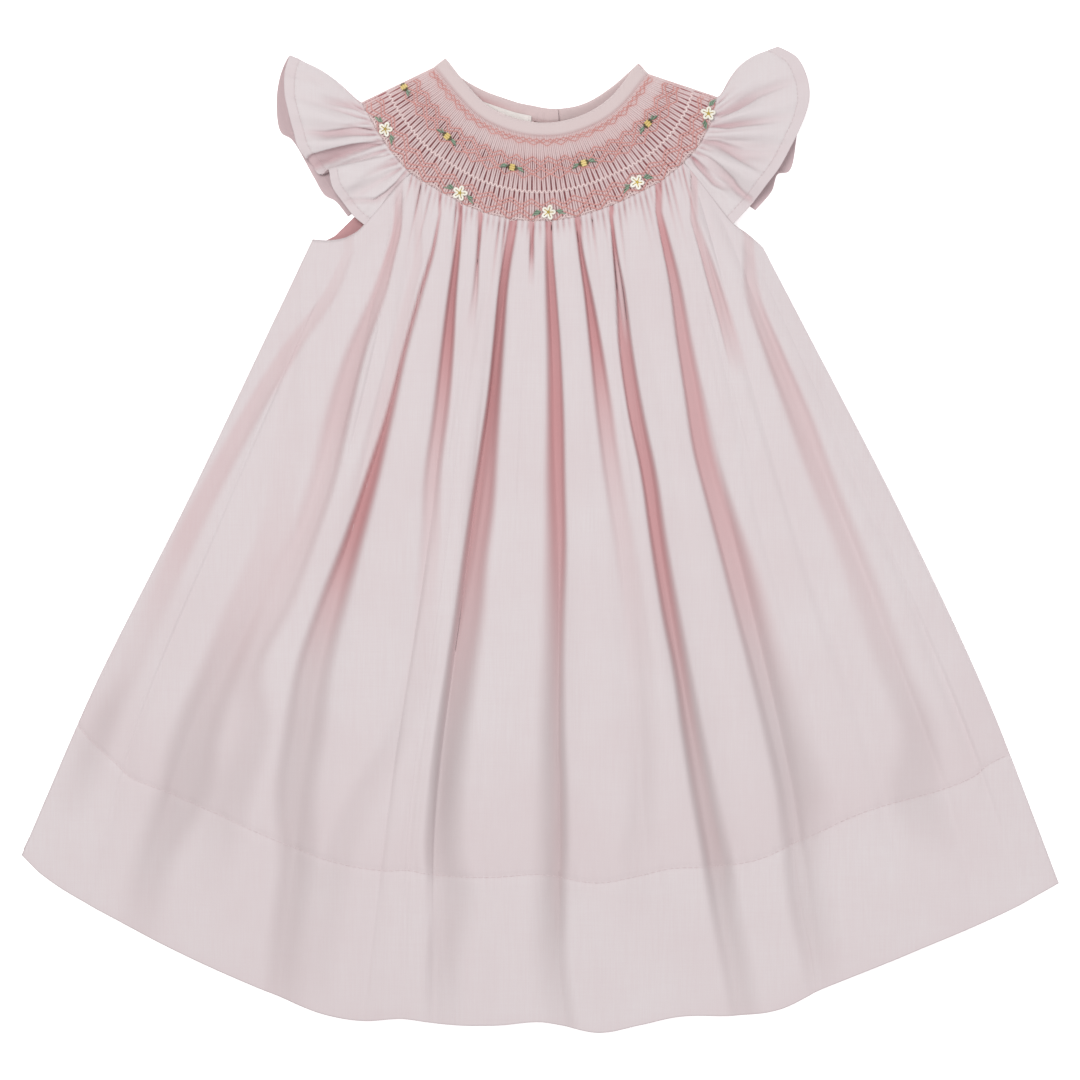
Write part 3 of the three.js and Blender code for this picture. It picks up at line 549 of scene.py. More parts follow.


# The skirt's valleys from the yoke down: how soft the wall on each side is, then the Y of a place, the
# X of the valley's middle there, its half width, how deep it is cut and how much pink painted shade it gets.
VALLEYS = (
    (1.5, 1.5, (
        (135, -90, 2, 0.6, 0.1), (115, -99, 3, 0.8, 0.18), (90, -117, 4, 1, 0.24), (50, -141, 4, 1.2, 0.28),
        (0, -167, 4, 1.2, 0.26), (-60, -193, 3, 1, 0.14), (-90, -207, 2.5, 1.2, 0.32),
        (-120, -219, 2.5, 0.8, 0.14), (-140, -226, 2, 0, 0),
    )),
    (1.3, 1.3, (
        (40, -118, 5, 0.5, 0.03), (0, -126, 6, 1, 0.12), (-30, -138, 7, 1.5, 0.2), (-60, -150, 7, 2, 0.3),
        (-90, -161, 8, 2, 0.33), (-120, -168, 9, 2, 0.33), (-150, -181, 5, 1.5, 0.28),
        (-180, -188, 4, 0.8, 0.1), (-210, -195, 4, 0, 0),
    )),
    (2.0, 1.2, (
        (168, -66, 1.5, 0.8, 0.1), (145, -67, 1.8, 1.4, 0.5), (135, -69.5, 2, 1.8, 0.5),
        (115, -75.5, 3, 2, 0.4), (90, -85.5, 4, 2.6, 0.36), (60, -94, 4.8, 2.6, 0.32),
        (30, -101, 5, 2.2, 0.24), (0, -111, 5, 2, 0.2), (-30, -122, 5, 2, 0.18), (-60, -136, 4, 1.6, 0.24),
        (-90, -134, 4, 1.2, 0.2), (-120, -144, 5, 1.2, 0.22), (-150, -152, 5, 0.6, 0.06),
        (-175, -160, 5, 0, 0),
    )),
    (2.0, 1.2, (
        (130, -57, 1.5, 0.4, 0.12), (94, -66, 2, 0.6, 0.15), (42, -79, 2.5, 0.6, 0.12), (10, -90, 3, 0, 0),
    )),
    (0.8, 1.3, (
        (153, -47, 0.6, 0.8, 0.5), (135, -50.5, 0.8, 2.2, 0.75), (115, -56.3, 0.8, 3, 0.75),
        (90, -63.2, 0.8, 3.4, 0.75), (60, -70.4, 1.2, 3.8, 0.85), (30, -78.8, 2.4, 4.6, 1.05),
        (0, -88, 3.4, 5, 0.9), (-30, -98, 5, 3.6, 0.6), (-60, -107, 6, 3, 0.4),
        (-90, -111.5, 6.5, 2.6, 0.34), (-120, -116, 6, 2.4, 0.32), (-150, -115, 5, 2.2, 0.3),
        (-175, -118, 4.5, 2, 0.28), (-200, -121, 4, 1.8, 0.22), (-224, -122, 4, 1.2, 0.08),
    )),
    (1, 1.2, (
        (152, -37.3, 0.9, 1.5, 0.9), (135, -39, 1.3, 3, 1.1), (115, -41.3, 1.8, 4, 1.1),
        (90, -43.5, 2.6, 4, 0.95), (60, -46.5, 3, 3.2, 0.65), (30, -50.5, 3, 2, 0.36),
        (0, -51.5, 3.2, 1, 0.2), (-60, -57, 3, 0.8, 0.1), (-90, -66, 3, 0.8, 0.1),
        (-120, -83, 3.5, 1, 0.12), (-150, -95, 4, 1.2, 0.14), (-175, -100, 4, 1.2, 0.1),
        (-205, -106, 4, 1, 0.06), (-226, -109, 4, 0, 0),
    )),
    (1, 1, (
        (154, -28, 0.7, 1.5, 0.8), (145, -28.3, 0.8, 2.5, 0.9), (132, -29.3, 0.7, 2, 0.7),
        (115, -30.5, 1.2, 1, 0.3), (98, -33, 2, 0, 0),
    )),
    (0.6, 1.3, (
        (150, -12.8, 1.8, 1.5, 0.85), (120, -17.3, 2, 4, 1.05), (94, -19.6, 2.2, 4.5, 1.08),
        (68, -21.8, 2.6, 4.5, 1.02), (42, -24.6, 3.6, 4.5, 0.9), (17, -27.4, 4.6, 4.5, 0.8),
        (-9, -31, 4.6, 4.2, 0.7), (-36, -34, 5, 4, 0.6), (-60, -37.5, 5, 3.5, 0.56), (-90, -42, 5, 3, 0.48),
        (-120, -45.5, 4.5, 2.8, 0.42), (-150, -46, 5.5, 2.2, 0.28), (-165, -42, 6, 2, 0.2),
        (-200, -47, 4, 1.8, 0.16), (-228, -48, 4, 0.8, 0.04),
    )),
    (1, 1, (
        (149, -3.8, 0.8, 1.5, 0.75), (136, -3.9, 1, 2.2, 0.8), (128, -4, 1, 0.8, 0.35),
        (118, -4.2, 1, 0, 0),
    )),
    (1.7, 0.65, (
        (149, 4.2, 1.4, 1.5, 0.85), (133, 4.6, 1.8, 3, 0.95), (115, 5.6, 2.2, 3.8, 1.05),
        (90, 7, 2.6, 4, 0.98), (60, 7.8, 3, 4, 1.0), (30, 8, 3.2, 4, 0.92), (0, 8.6, 3, 3.8, 0.8),
        (-36, 8.2, 2.2, 3.4, 0.66), (-60, 8, 1.8, 3.4, 0.62), (-90, 8, 1.8, 3.4, 0.62),
        (-120, 8.8, 1.8, 3.2, 0.6), (-150, 8.8, 1.8, 3, 0.58), (-175, 8, 1.8, 2.6, 0.5),
        (-200, 8, 1.8, 2.2, 0.3), (-228, 12, 2, 1.6, 0.14),
    )),
    (0.9, 1.2, (
        (151, 17.4, 0.8, 1.5, 0.85), (135, 19.2, 1.1, 2.6, 1.0), (115, 22.6, 1.7, 3.5, 1.1),
        (90, 26.2, 2.6, 3.5, 0.98), (60, 30, 3.3, 2.6, 0.6), (30, 34, 3.4, 1.6, 0.3), (0, 39, 3.4, 1, 0.18),
        (-60, 47, 3, 0.9, 0.1), (-120, 48, 3, 0.9, 0.1), (-150, 44, 3, 0.8, 0.08), (-185, 49, 3, 0, 0),
    )),
    (0.5, 0.9, (
        (152, 33.4, 0.8, 1.5, 0.95), (135, 35.2, 1.2, 3, 1.05), (115, 37.8, 2.2, 4, 0.88),
        (90, 40, 3, 4, 0.9), (60, 44.6, 3.3, 4, 0.9), (30, 50.8, 3.2, 4, 0.92), (0, 55, 3, 4, 0.9),
        (-36, 61, 3, 3.8, 0.88), (-60, 65.6, 2.6, 3.6, 0.85), (-90, 70.5, 3, 3.4, 0.76),
        (-120, 76, 3.6, 3, 0.62), (-150, 82, 4, 2.6, 0.54), (-175, 86, 4, 2.2, 0.34),
        (-200, 91, 4, 1.8, 0.24), (-228, 96, 4, 1.2, 0.14),
    )),
    (0.8, 0.8, (
        (140, 34.8, 0.3, 0, 0), (125, 36.8, 0.8, -1.6, -0.45), (108, 39, 0.9, -1.4, -0.35),
        (90, 41.5, 0.8, 0, 0),
    )),
    (0.6, 1.9, (
        (154, 55.5, 1.4, 1.2, 0.8), (145, 57.5, 1.8, 2, 0.95), (120, 63, 2.4, 3, 0.76),
        (94, 67, 3, 3.4, 0.74), (68, 71.5, 3.6, 3.5, 0.76), (42, 76, 4, 3.5, 0.74),
        (17, 83, 4.5, 3.5, 0.64), (-9, 91, 5.5, 3.5, 0.56), (-36, 98.5, 6, 3.2, 0.48),
        (-60, 105, 6, 3, 0.38), (-90, 113, 6.5, 2.8, 0.35), (-120, 120, 7, 2.5, 0.33),
        (-150, 120, 4, 2, 0.24), (-175, 123.5, 4, 1.8, 0.24), (-200, 128.5, 3.5, 1.5, 0.12),
        (-226, 131, 3.5, 0, 0),
    )),
    (0.6, 1.8, (
        (150, 72, 1.5, 1, 0.32), (133, 77.5, 2.2, 2, 0.42), (120, 81.5, 2.8, 2.2, 0.46),
        (107, 85.5, 3, 2, 0.42), (94, 89, 3.2, 1.5, 0.28), (76, 94, 3.5, 0, 0),
    )),
    (1.5, 1.3, (
        (140, 98, 2, 1, 0.22), (115, 100, 3, 1.5, 0.28), (90, 109, 4, 2, 0.38), (60, 121, 5, 2, 0.34),
        (30, 132, 5, 1.6, 0.28), (0, 144, 5, 1.4, 0.2), (-60, 166, 5, 1.2, 0.2), (-90, 178, 5, 1.2, 0.2),
        (-120, 176, 7, 1, 0.2), (-150, 186, 6, 0, 0),
    )),
)


def carved(x, y):
    """How far the valleys cut into the cloth at each place, and the pink painted shade they get there."""
    cut, fold_shade = np.zeros(x.shape), np.zeros(x.shape)
    # Walls of the valleys are steep at the yoke and soft at the hem.
    wall_width = np.interp(y, (-228, -120, -50, 20, 90, 130, 150), (14, 11, 7, 4, 2.2, 1.4, 1.0))
    for soft_left, soft_right, places in VALLEYS:
        table = np.array(places, float)[::-1]
        curves = through(table[:, 0], table[:, 1:], y.ravel()).T.reshape(4, *y.shape)
        centre, half, depth, shade = curves
        off = x - centre
        width = wall_width * np.where(off < 0, soft_left, soft_right)
        past = (np.abs(off) - half) / width
        cut += depth * (1 - ease(past, -0.45, 0.55))
        fold_shade += shade * (1 - ease(past, -0.15, 0.65))
    return cut, fold_shade


def skirt_surface(fold, share, down):
    """Middle of the front skirt's cloth, (rows, columns, 3), and the pink and the grey painted shade of each
    point, by how deep in a fold it lies.
    """
    after = np.minimum(fold + 1, len(SKIRT_FOLDS) - 1)
    s, d = share[None, :], down[:, None]
    across = s - SIDE_PUSH * np.minimum(1, d / 0.1) * np.sin(2 * np.pi * s)
    corner = skirt_top_edge(FOLD_PLAN[:, 0])[:, 0]
    weights = np.stack([through(PLAN_STATIONS, row, down) for row in np.eye(4)], 1)
    lines = np.concatenate((corner[:, None], FOLD_PLAN[:, 1:]), 1)
    span = lines @ weights.T
    width = (span[after] - span[fold]).T
    x = span[fold].T + width * across
    top_x = lerp(FOLD_PLAN[fold, 0][None, :], FOLD_PLAN[after, 0][None, :], across)
    top = skirt_top_edge(top_x.ravel()).reshape(*top_x.shape, 2)
    x = x + weights[:, 0][:, None] * (top[..., 0] - lerp(corner[fold], corner[after], across))
    y = lerp(top[..., 1], hem_y(lerp(FOLD_PLAN[fold, 3][None, :], FOLD_PLAN[after, 3][None, :], across)), d)
    floors = through(STATIONS, FOLD_FLOOR, down)
    floor = lerp(floors[:, fold], floors[:, after], ease(s, 0, 1))
    number = np.arange(len(SKIRT_FOLDS) - 1) + 0.5
    crests = through(STATIONS, FOLD_CREST, down)
    crest = np.stack([np.interp(fold + share, number, row[:-1]) for row in crests])
    widths = np.diff(span, axis=0).T
    steepest = MOST_STEEP * np.stack([np.interp(fold + share, number, row) for row in widths])
    rise = np.maximum(0, np.minimum(crest - floor, steepest))
    sag = lerp(0.2, 0.5, ease(d, 0.3, 0.7)) * (1 - 0.35 * ease(d, 0.8, 1))
    lobe = np.sin(np.pi * s) ** 2
    at_sides = np.minimum(1, np.minimum(fold + share, len(SKIRT_FOLDS) - 1 - fold - share))[None, :]
    lobe = np.where(at_sides < 1, np.maximum(np.sin(np.pi * at_sides / 2), 0) ** 0.7, 1 - sag + sag * lobe)
    cut, fold_shade = carved(x, y)
    settled = 1 - 0.35 * ease(d, 0.75, 1)
    # A soft floor keeps the cloth off the back. Low down, part of the folds' pink painted shade turns to grey
    # painted shade.
    above = floor + rise * lobe * settled - cut * np.minimum(1, 0.35 + d / 0.05) - LOWEST
    z = LOWEST + (above + np.sqrt(above**2 + 0.3)) / 2
    grey_shade = 0.8 * np.clip(fold_shade, 0, 0.4) * ease(-y, -10, 110)
    return np.stack((x, y, z), -1), np.clip(fold_shade - grey_shade, 0, 1), grey_shade


PLEATS = 80
HALF_PLEATS = 2 * PLEATS


def released_pleats(share, distance, depth, reach):
    """Dimples under a smocked edge, one for each open pleat: share along the edge, distance from it."""
    pleat = share * PLEATS - 0.5
    number = np.clip(np.round(pleat).astype(int), 0, PLEATS - 1)
    off = pleat - number
    return depth[number] * bell(off, 0.24) * np.exp(-((distance / reach[number]) ** 1.6))


def crease_noise(count, fold_span, seed, height, width):
    """Long soft creases that start and end anywhere: centre, half width, start, end and height of each."""
    roll = np.random.default_rng(seed)
    return [
        (roll.uniform(*fold_span), roll.uniform(*width), roll.uniform(-0.1, 0.75), roll.uniform(0.25, 0.6),
         roll.uniform(*height) * roll.choice((-1, 1)), roll.uniform(-0.35, 0.35))
        for _ in range(count)
    ]


def creased(line, down, creases):
    """Sum of soft creases over a surface whose columns are at line (fold number plus share)."""
    total = np.zeros(np.broadcast(line, down).shape)
    for centre, width, start, length, height, drift in creases:
        run = (down - start) / length
        total += height * window(run, 1.5) * bell(line - centre - drift * (run - 0.5), width)
    return total


def window(run, power):
    """Swells from 0 at the start of a run to 1 and back to 0 at its end."""
    return np.where((run > 0) & (run < 1), np.sin(np.pi * np.clip(run, 0, 1)) ** power, 0)


def front_skirt(material):
    fold, share = skirt_columns(0.42, 1.3, 1.6)
    down = np.concatenate((
        np.linspace(0, 0.032, 23), np.linspace(0.0355, 0.11, 20), np.linspace(0.12, 0.80, 56),
        [0.806, 0.810, 0.813, STITCH_SHARE, 0.8175, 0.821, 0.828],
        np.linspace(0.84, 0.985, 13), [0.993, 0.998, 1],
    ))
    middle, deep, grey_shade = skirt_surface(fold, share, down)
    line = (fold + share)[None, :]
    d = down[:, None]
    top_x = middle[0, :, 0]
    on_yoke = YOKE_EDGE.share_at(top_x)
    under = ease(on_yoke, RAGLAN_LEFT - 0.004, RAGLAN_LEFT + 0.004)
    under *= 1 - ease(on_yoke, RAGLAN_RIGHT - 0.004, RAGLAN_RIGHT + 0.004)
    roll = np.random.default_rng(3)
    depth = roll.uniform(0.8, 2.0, PLEATS)
    reach = np.where(roll.random(PLEATS) < 0.35, roll.uniform(9, 20, PLEATS), roll.uniform(3, 7, PLEATS))
    distance = d * SKIRT_RUN
    dimple = released_pleats(on_yoke[None, :], distance, depth, reach)
    dimple = dimple * under * (0.55 + 0.45 * ease(distance, 0, 3))
    middle[..., 2] += 0.9 * np.exp(-distance / 7) * under - dimple
    middle[..., 2] += creased(line, d, crease_noise(60, (0.3, 15.7), 5, (0.25, 0.8), (0.12, 0.3)))
    middle[..., 2] += creased(line, d, crease_noise(90, (0.3, 15.7), 6, (0.15, 0.4), (0.05, 0.12)))
    # The hem runs higher at the sides. Its cloth begins with a step, and its stitches pucker.
    rise_left = HEM_RISE_LEFT * (1 - ease(line, 0, 2.2)) * bell(d - STITCH_SHARE, 0.13)
    rise_right = HEM_RISE_RIGHT * ease(line, 13.8, 16) * bell(d - STITCH_SHARE, 0.13)
    middle[..., 0] += SIDE_SLOPE * (rise_left - rise_right)
    middle[..., 1] += rise_left + rise_right
    hem = ease(d, STITCH_SHARE - 0.002, STITCH_SHARE + 0.003)
    x = middle[..., 0]
    pucker = np.sin(x / 2.1 + 2 * np.sin(x / 17)) * np.sin(x / 5.3 + 1) + 0.6 * np.sin(x / 1.3)
    pucker += 1.2 * np.sin(x / 9.5 + 2 * np.sin(x / 31)) ** 3
    middle[..., 2] += 0.45 * hem - 0.5 * bell(d - STITCH_SHARE, 0.0035)
    middle[..., 2] += 0.3 * pucker * bell(d - STITCH_SHARE, 0.02)
    # Its top edge meets the height of the sleeves along the raglan seams.
    joined = np.interp(top_x, (-92, -82.5, -70, -61, -57, 63, 68, 79, 91, 99), (0, 1, 1, 1, 0, 0, 1, 1, 1, 0))
    level = np.interp(top_x, (-82.5, -72, -61, 68, 79, 91), (6.1, 7.2, 8.4, 8.4, 7.4, 6.3))
    middle[..., 2] += (joined * (level - middle[0, :, 2]))[None, :] * np.exp(-((distance / 9) ** 2))
    middle[..., 2] = np.maximum(middle[..., 2], LOWEST)
    # Painted shade in the folds and in the dimples of the released pleats.
    dark = np.clip(deep + np.clip(dimple / 1.5, 0, 1) * 0.75, 0, 1)
    # The double tint paints a little shade on the single cloth down to the hem stitches and on the hem near
    # its left valley; the hem's folded edge takes the tint too.
    edge = 0.4 * ease(d, 0.6, STITCH_SHARE) * (1 - hem)
    edge = edge + hem * np.interp(x, (-240, -120, 0), (0.0, 0.25, 0.0)) + 0.2 * bell(d - 1, 0.01)
    back_up = middle[0] - middle[1]
    back_up /= np.linalg.norm(back_up[:, :2], axis=1, keepdims=True)
    under_seam = middle[0] + back_up * (1, 1, 0) * 2.3 - (0, 0, 0.4)
    middle = np.concatenate((under_seam[None], middle))
    dark, edge, grey_shade = (np.concatenate((shade[:1], shade)) for shade in (dark, edge, grey_shade))
    out = normals(middle)
    kept = [0, 8, 16, 22, 28, 34, 42] + list(range(46, len(middle) - 4, 4)) + [len(middle) - 1]
    inner = (middle - out * 0.2 - (0, 0, 0.35))[kept]
    made = cloth(
        "dress_front_skirt", "front_skirt", middle + out * 0.35, inner, material, "cloth", kept,
        deep=(dark, 0.35), doubled=(edge, 0.5), shaded=(grey_shade, 0),
    )
    return made, middle[1 + int(np.argmin(np.abs(down - STITCH_SHARE)))]


# Where the back's creases lie, in folds of the front from the left.
BACK_CREASES = (1.6, 2.35, 2.75, 3.5, 4.4, 5.6, 6.45, 7.5, 8.4, 9.55, 10.5, 11.4, 12.6, 13.5, 14.4)


def back_skirt(material):
    """The back lies on the table. Its creases rise only where the front stands clear of it."""
    fold, share = skirt_columns(1.5, 2.5, 2.6)
    down = np.concatenate((
        [0, 0.01, 0.02, 0.035], np.linspace(0.055, 0.80, 44), [STITCH_SHARE, 0.83], np.linspace(0.85, 1, 9),
    ))
    front, _, _ = skirt_surface(fold, share, down)
    line = (fold + share)[None, :]
    d = down[:, None]
    flat = front.copy()
    top_x = front[0, :, 0]
    behind = np.interp(top_x, (-108, -103, -97, -88.6, -75, -61), (139.5, 140.5, 143.4, 151.3, 163.5, 171.4))
    lift = np.where(top_x < -61, behind - front[0, :, 1], 0)
    lower = np.where(top_x > 68, -1.0, 0)
    flat[..., 1] += (lift + lower)[None, :] * (1 - ease(d, 0, 0.12)) + 3.5 * ease(d, 0.9, 1)
    flat[..., 0] += np.clip(1 - line / 1.2, 0, 1) - np.clip((line - 14.8) / 1.2, 0, 1)
    room = np.maximum(0, front[..., 2] - CLOTH / 2 - 1.0)
    roll = np.random.default_rng(21)
    raised = np.zeros(front.shape[:2])
    for centre in BACK_CREASES:
        start, length = roll.uniform(-0.2, 0.1), roll.uniform(0.5, 1.25)
        run = (d - start) / length
        height = roll.uniform(1.0, 2.6)
        drift = roll.uniform(-0.2, 0.2)
        raised += height * window(run, 0.8) * bell(line - centre - drift * run, roll.uniform(0.1, 0.22))
    raised += np.maximum(0, creased(line, d, crease_noise(70, (0.4, 15.6), 8, (0.2, 0.7), (0.06, 0.15))))
    x = flat[..., 0]
    raised += 0.25 * (1 + np.sin(x / 2.1 + 2 * np.sin(x / 17))) * bell(d - STITCH_SHARE, 0.014)
    flat[..., 2] = 0.02 + np.minimum(raised, room * 0.55)
    # Painted shade: on the upper face, which lies under the front, most near the top; on the face on the
    # table, along its raised creases.
    deep = np.clip(raised / 2.4, 0, 1) * 0.7
    doubled = ease(d, STITCH_SHARE - 0.002, STITCH_SHARE + 0.004) * 0.55
    return cloth(
        "dress_back_skirt", "back_skirt", flat + (0, 0, 0.55), flat, material, "cloth",
        deep=(0.55 + 0.4 * (1 - ease(d, 0.02, 0.2)), deep), doubled=(np.maximum(doubled, 0.4), doubled),
    )


# Smocking. Two half pleats make one that shows, and the open slots change places at the cable row.

CABLE_ROW = 0.655


def zigzag(place, period, low, high, phase=0.0):
    """Down-share of a thread that steps between low and high once in a period of half pleats."""
    wave = np.abs(((place / period + phase) % 1) * 2 - 1)
    return lerp(low, high, wave)


# Salmon threads: period in half pleats, start of the wave, and its two ends down the yoke.
TRELLIS = (
    (4, 0.0, 0.015, 0.05), (4, 0.5, 0.03, 0.065), (8, 0.5, 0.055, 0.1),
    (8, 0.0, 0.235, 0.305), (8, 0.0, 0.28, 0.35), (8, 0.5, 0.345, 0.415), (8, 0.5, 0.385, 0.455),
    (8, 0.0, 0.435, 0.505),
    (8, 0.0, 0.745, 0.82), (8, 0.0, 0.79, 0.865), (8, 0.5, 0.86, 0.94), (8, 0.5, 0.91, 0.995),
)


def slot_opening(down, roll):
    """How open each slot between half pleats is, (rows, slots)."""
    number = np.arange(HALF_PLEATS + 1)
    even = np.interp(
        down,
        (0, 0.10, 0.16, 0.22, 0.30, 0.50, 0.55, 0.60, 0.632, 0.645, 0.66, 0.70, 0.80, 0.96, 1),
        (0.12, 0.14, 0.20, 0.34, 0.85, 0.90, 1.05, 1.1, 1.15, 0.35, 0.03, 0.10, 0.45, 0.35, 0.1),
    )
    odd = np.interp(
        down,
        (0, 0.10, 0.22, 0.36, 0.48, 0.60, 0.645, 0.665, 0.678, 0.71, 0.76, 0.80, 0.90, 0.955, 0.985, 1),
        (0.08, 0.08, 0.14, 0.50, 0.42, 0.08, 0.03, 0.30, 1.15, 1.1, 0.95, 0.85, 0.90, 0.80, 0.40, 0.35),
    )
    opened = np.where(number[None, :] % 2 == 0, even[:, None], odd[:, None])
    knots = np.linspace(0, 1, 9)
    varied = np.stack([np.interp(down, knots, roll.uniform(0.62, 1.25, 9)) for _ in number], 1)
    opened = opened * varied
    for period, phase, low, high in TRELLIS:
        crossing = zigzag(number, period, low, high, phase)
        opened = opened * (1 - 0.8 * bell(down[:, None] - crossing[None, :], 0.011))
    return np.clip(opened, 0, 1.15)


def smocked(shares, down, opened, roll):
    """Plan shares and depths of a smocked surface. shares are the slots' places along the piece."""
    rows, slots = opened.shape
    step = np.diff(shares)[None, :]
    wander = np.zeros((rows, slots))
    knots = np.linspace(0, 1, 7)
    for n in range(1, slots - 1):
        wander[:, n] = np.interp(down, knots, roll.uniform(-0.14, 0.14, 7))
    place = shares[None, :] + wander * step.mean()
    left, right = place[:, :-1], place[:, 1:]
    gap_left = 0.05 + 0.27 * opened[:, :-1]
    gap_right = 0.05 + 0.27 * opened[:, 1:]
    deep_left = 0.22 + 1.45 * opened[:, :-1]
    deep_right = 0.22 + 1.45 * opened[:, 1:]
    # Each spot across a slot: its place, its height and its painted shade, darkest at the bottom of an open
    # slot.
    spots = (
        (0 * gap_left, -deep_left, opened[:, :-1]),
        (0.6 * gap_left, -0.62 * deep_left, 0.85 * opened[:, :-1]),
        (gap_left, -0.14 * deep_left, 0.12 * opened[:, :-1]),
        (0.5 + 0.5 * (gap_left - gap_right), 0 * deep_left, 0 * opened[:, :-1]),
        (1 - gap_right, -0.14 * deep_right, 0.12 * opened[:, 1:]),
        (1 - 0.6 * gap_right, -0.62 * deep_right, 0.85 * opened[:, 1:]),
    )
    along = np.stack([left + (right - left) * f for f, _, _ in spots], -1).reshape(rows, -1)
    height = np.stack([h for _, h, _ in spots], -1).reshape(rows, -1)
    dark = np.stack([c for _, _, c in spots], -1).reshape(rows, -1)
    along = np.concatenate((along, place[:, -1:]), 1)
    height = np.concatenate((height, -(0.22 + 1.45 * opened[:, -1:])), 1)
    dark = np.concatenate((dark, opened[:, -1:]), 1)
    return along, height, dark


def front_yoke(material):
    down = np.concatenate((
        np.linspace(0, 0.60, 41)[:-1], np.linspace(0.60, 0.72, 18)[:-1], np.linspace(0.72, 1, 24),
    ))
    roll = np.random.default_rng(5)
    opened = slot_opening(down, roll)
    shares = np.linspace(0, 1, HALF_PLEATS + 1)
    along, height, dark = smocked(shares, down, opened, roll)
    along = np.clip(along, 0, 1)
    d = down[:, None] * np.ones_like(along)
    z = np.maximum(yoke_crest(along, d) + height * dome(along), yoke_inside(along, d) + 0.5)
    outer = with_height(yoke_plan(along, d), z)
    # The first row goes on under the binding.
    tucked = with_height(yoke_plan(along[:1], d[:1] - 0.03), z[:1] - 0.9)
    outer = np.concatenate((tucked, outer))
    along, d, dark = (np.concatenate((grid[:1], grid)) for grid in (along, d, dark))
    kept = [0, len(d) // 2, len(d) - 1]
    inner = with_height(outer[..., :2], np.minimum(yoke_inside(along, d), outer[..., 2] - 0.4))[kept]
    near_thread = np.zeros_like(dark)
    for period, phase, low, high in TRELLIS:
        crossing = zigzag(along * HALF_PLEATS, period, low, high, phase)
        near_thread = np.maximum(near_thread, bell(d - crossing, 0.03))
    # Painted shade in the open slots of the smocking; the inner face is shaded evenly.
    return cloth(
        "dress_front_yoke", "front_yoke", outer, inner, material, "smocking", kept,
        deep=(np.clip(dark, 0, 1), 0.4), doubled=(0.75 * near_thread, 0.5),
    )


def on_front(place, down, lift):
    """Points on the front yoke for place in half pleats, lift above the pleats' crests."""
    share = np.asarray(place, float) / HALF_PLEATS
    down = np.broadcast_to(down, share.shape).astype(float)
    return with_height(yoke_plan(share, down), yoke_crest(share, down) + lift)


def thread_run(down_at, radius, lift, dip):
    """A thread along the yoke. down_at gives its place down the yoke for places in half pleats."""
    place = np.arange(2, HALF_PLEATS - 2, 0.25)
    down = down_at(place)
    path = on_front(place, down, lift - dip * np.cos(np.pi * place) ** 2)
    # Where a loop passes the yoke's edge it bends down to the skirt.
    path[:, 2] -= 45 * np.maximum(0, down - 0.995)
    return tube(path, radius, 5)


def uneven(place, seed, size):
    """Slow wandering of a hand-sewn row."""
    roll = np.random.default_rng(seed)
    knots = np.arange(0, HALF_PLEATS + 8, 4)
    return np.interp(place, knots, roll.uniform(-size, size, len(knots)))


def smocking_threads(salmon, pale):
    trellis, rows = Bundle(), Bundle()
    for number, (period, phase, low, high) in enumerate(TRELLIS):
        def row(place):
            wave_at = zigzag(place + uneven(place, number, 0.3), period, low, high, phase)
            return wave_at + uneven(place, number + 50, 0.005)
        trellis.add(*thread_run(row, 0.17 if number < 3 else 0.25, 0.12, 0.12))
    trellis.made("smocking_threads", salmon, "smocking")

    def cable(place):
        return zigzag(place, 2, CABLE_ROW - 0.018, CABLE_ROW + 0.018)
    rows.add(*thread_run(cable, 0.33, 0.18, 0.1))
    for shift, seed in ((0.0, 90), (-0.014, 91)):
        def edge(place):
            scallop = zigzag(place, 8, -0.024, 0.05, 0.5) + uneven(place, seed, 0.008)
            return 0.99 + shift + scallop + zigzag(place, 2, -0.012, 0.012, 35 * shift)
        rows.add(*thread_run(edge, 0.21, 0.2, 0.1))
    rows.made("cable_row_threads", pale, "smocking")


# Flowers and buds on the smocking

def place_on_yoke():
    """A table of places on the yoke, for finding the height and direction at a plan point."""
    shares, downs = np.meshgrid(np.linspace(0.02, 0.98, 193), np.linspace(0, 1, 41))
    return shares.ravel(), downs.ravel(), yoke_plan(shares.ravel(), downs.ravel())


def yoke_frame(table, x, y):
    shares, downs, plans = table
    nearest = np.argmin(np.hypot(plans[:, 0] - x, plans[:, 1] - y))
    share, down = shares[nearest], downs[nearest]
    pair = on_front(np.array([share - 0.01, share + 0.01]) * HALF_PLEATS, down, 0)
    along = unit(pair[1] - pair[0])
    away = unit(np.array((along[1], -along[0], 0)))
    return np.array((x, y, yoke_crest(share, down))), along, away


def stitch(base, along, away, points, lift):
    """Points given as (along, away) in millimetres, laid on the smocking."""
    flat = np.array(points, float)
    path = base + flat[:, :1] * along + flat[:, 1:2] * away
    path[:, 2] += lift
    return path


def arc_stitch(base, along, away, start, end, lift, hump, steps=7):
    t = np.linspace(0, 1, steps)[:, None]
    flat = np.array(start, float) * (1 - t) + np.array(end, float) * t
    path = stitch(base, along, away, flat, lift)
    path[:, 2] += hump * np.sin(np.pi * t[:, 0])
    return path


BUDS = ((-63.8, 212.6), (-43.5, 189), (-13, 174.5), (20.5, 176.5), (50.5, 195))
DAISIES = ((-72.5, 192.5), (-37.5, 162.5), (4, 153.5), (45.5, 167.5), (79, 200))


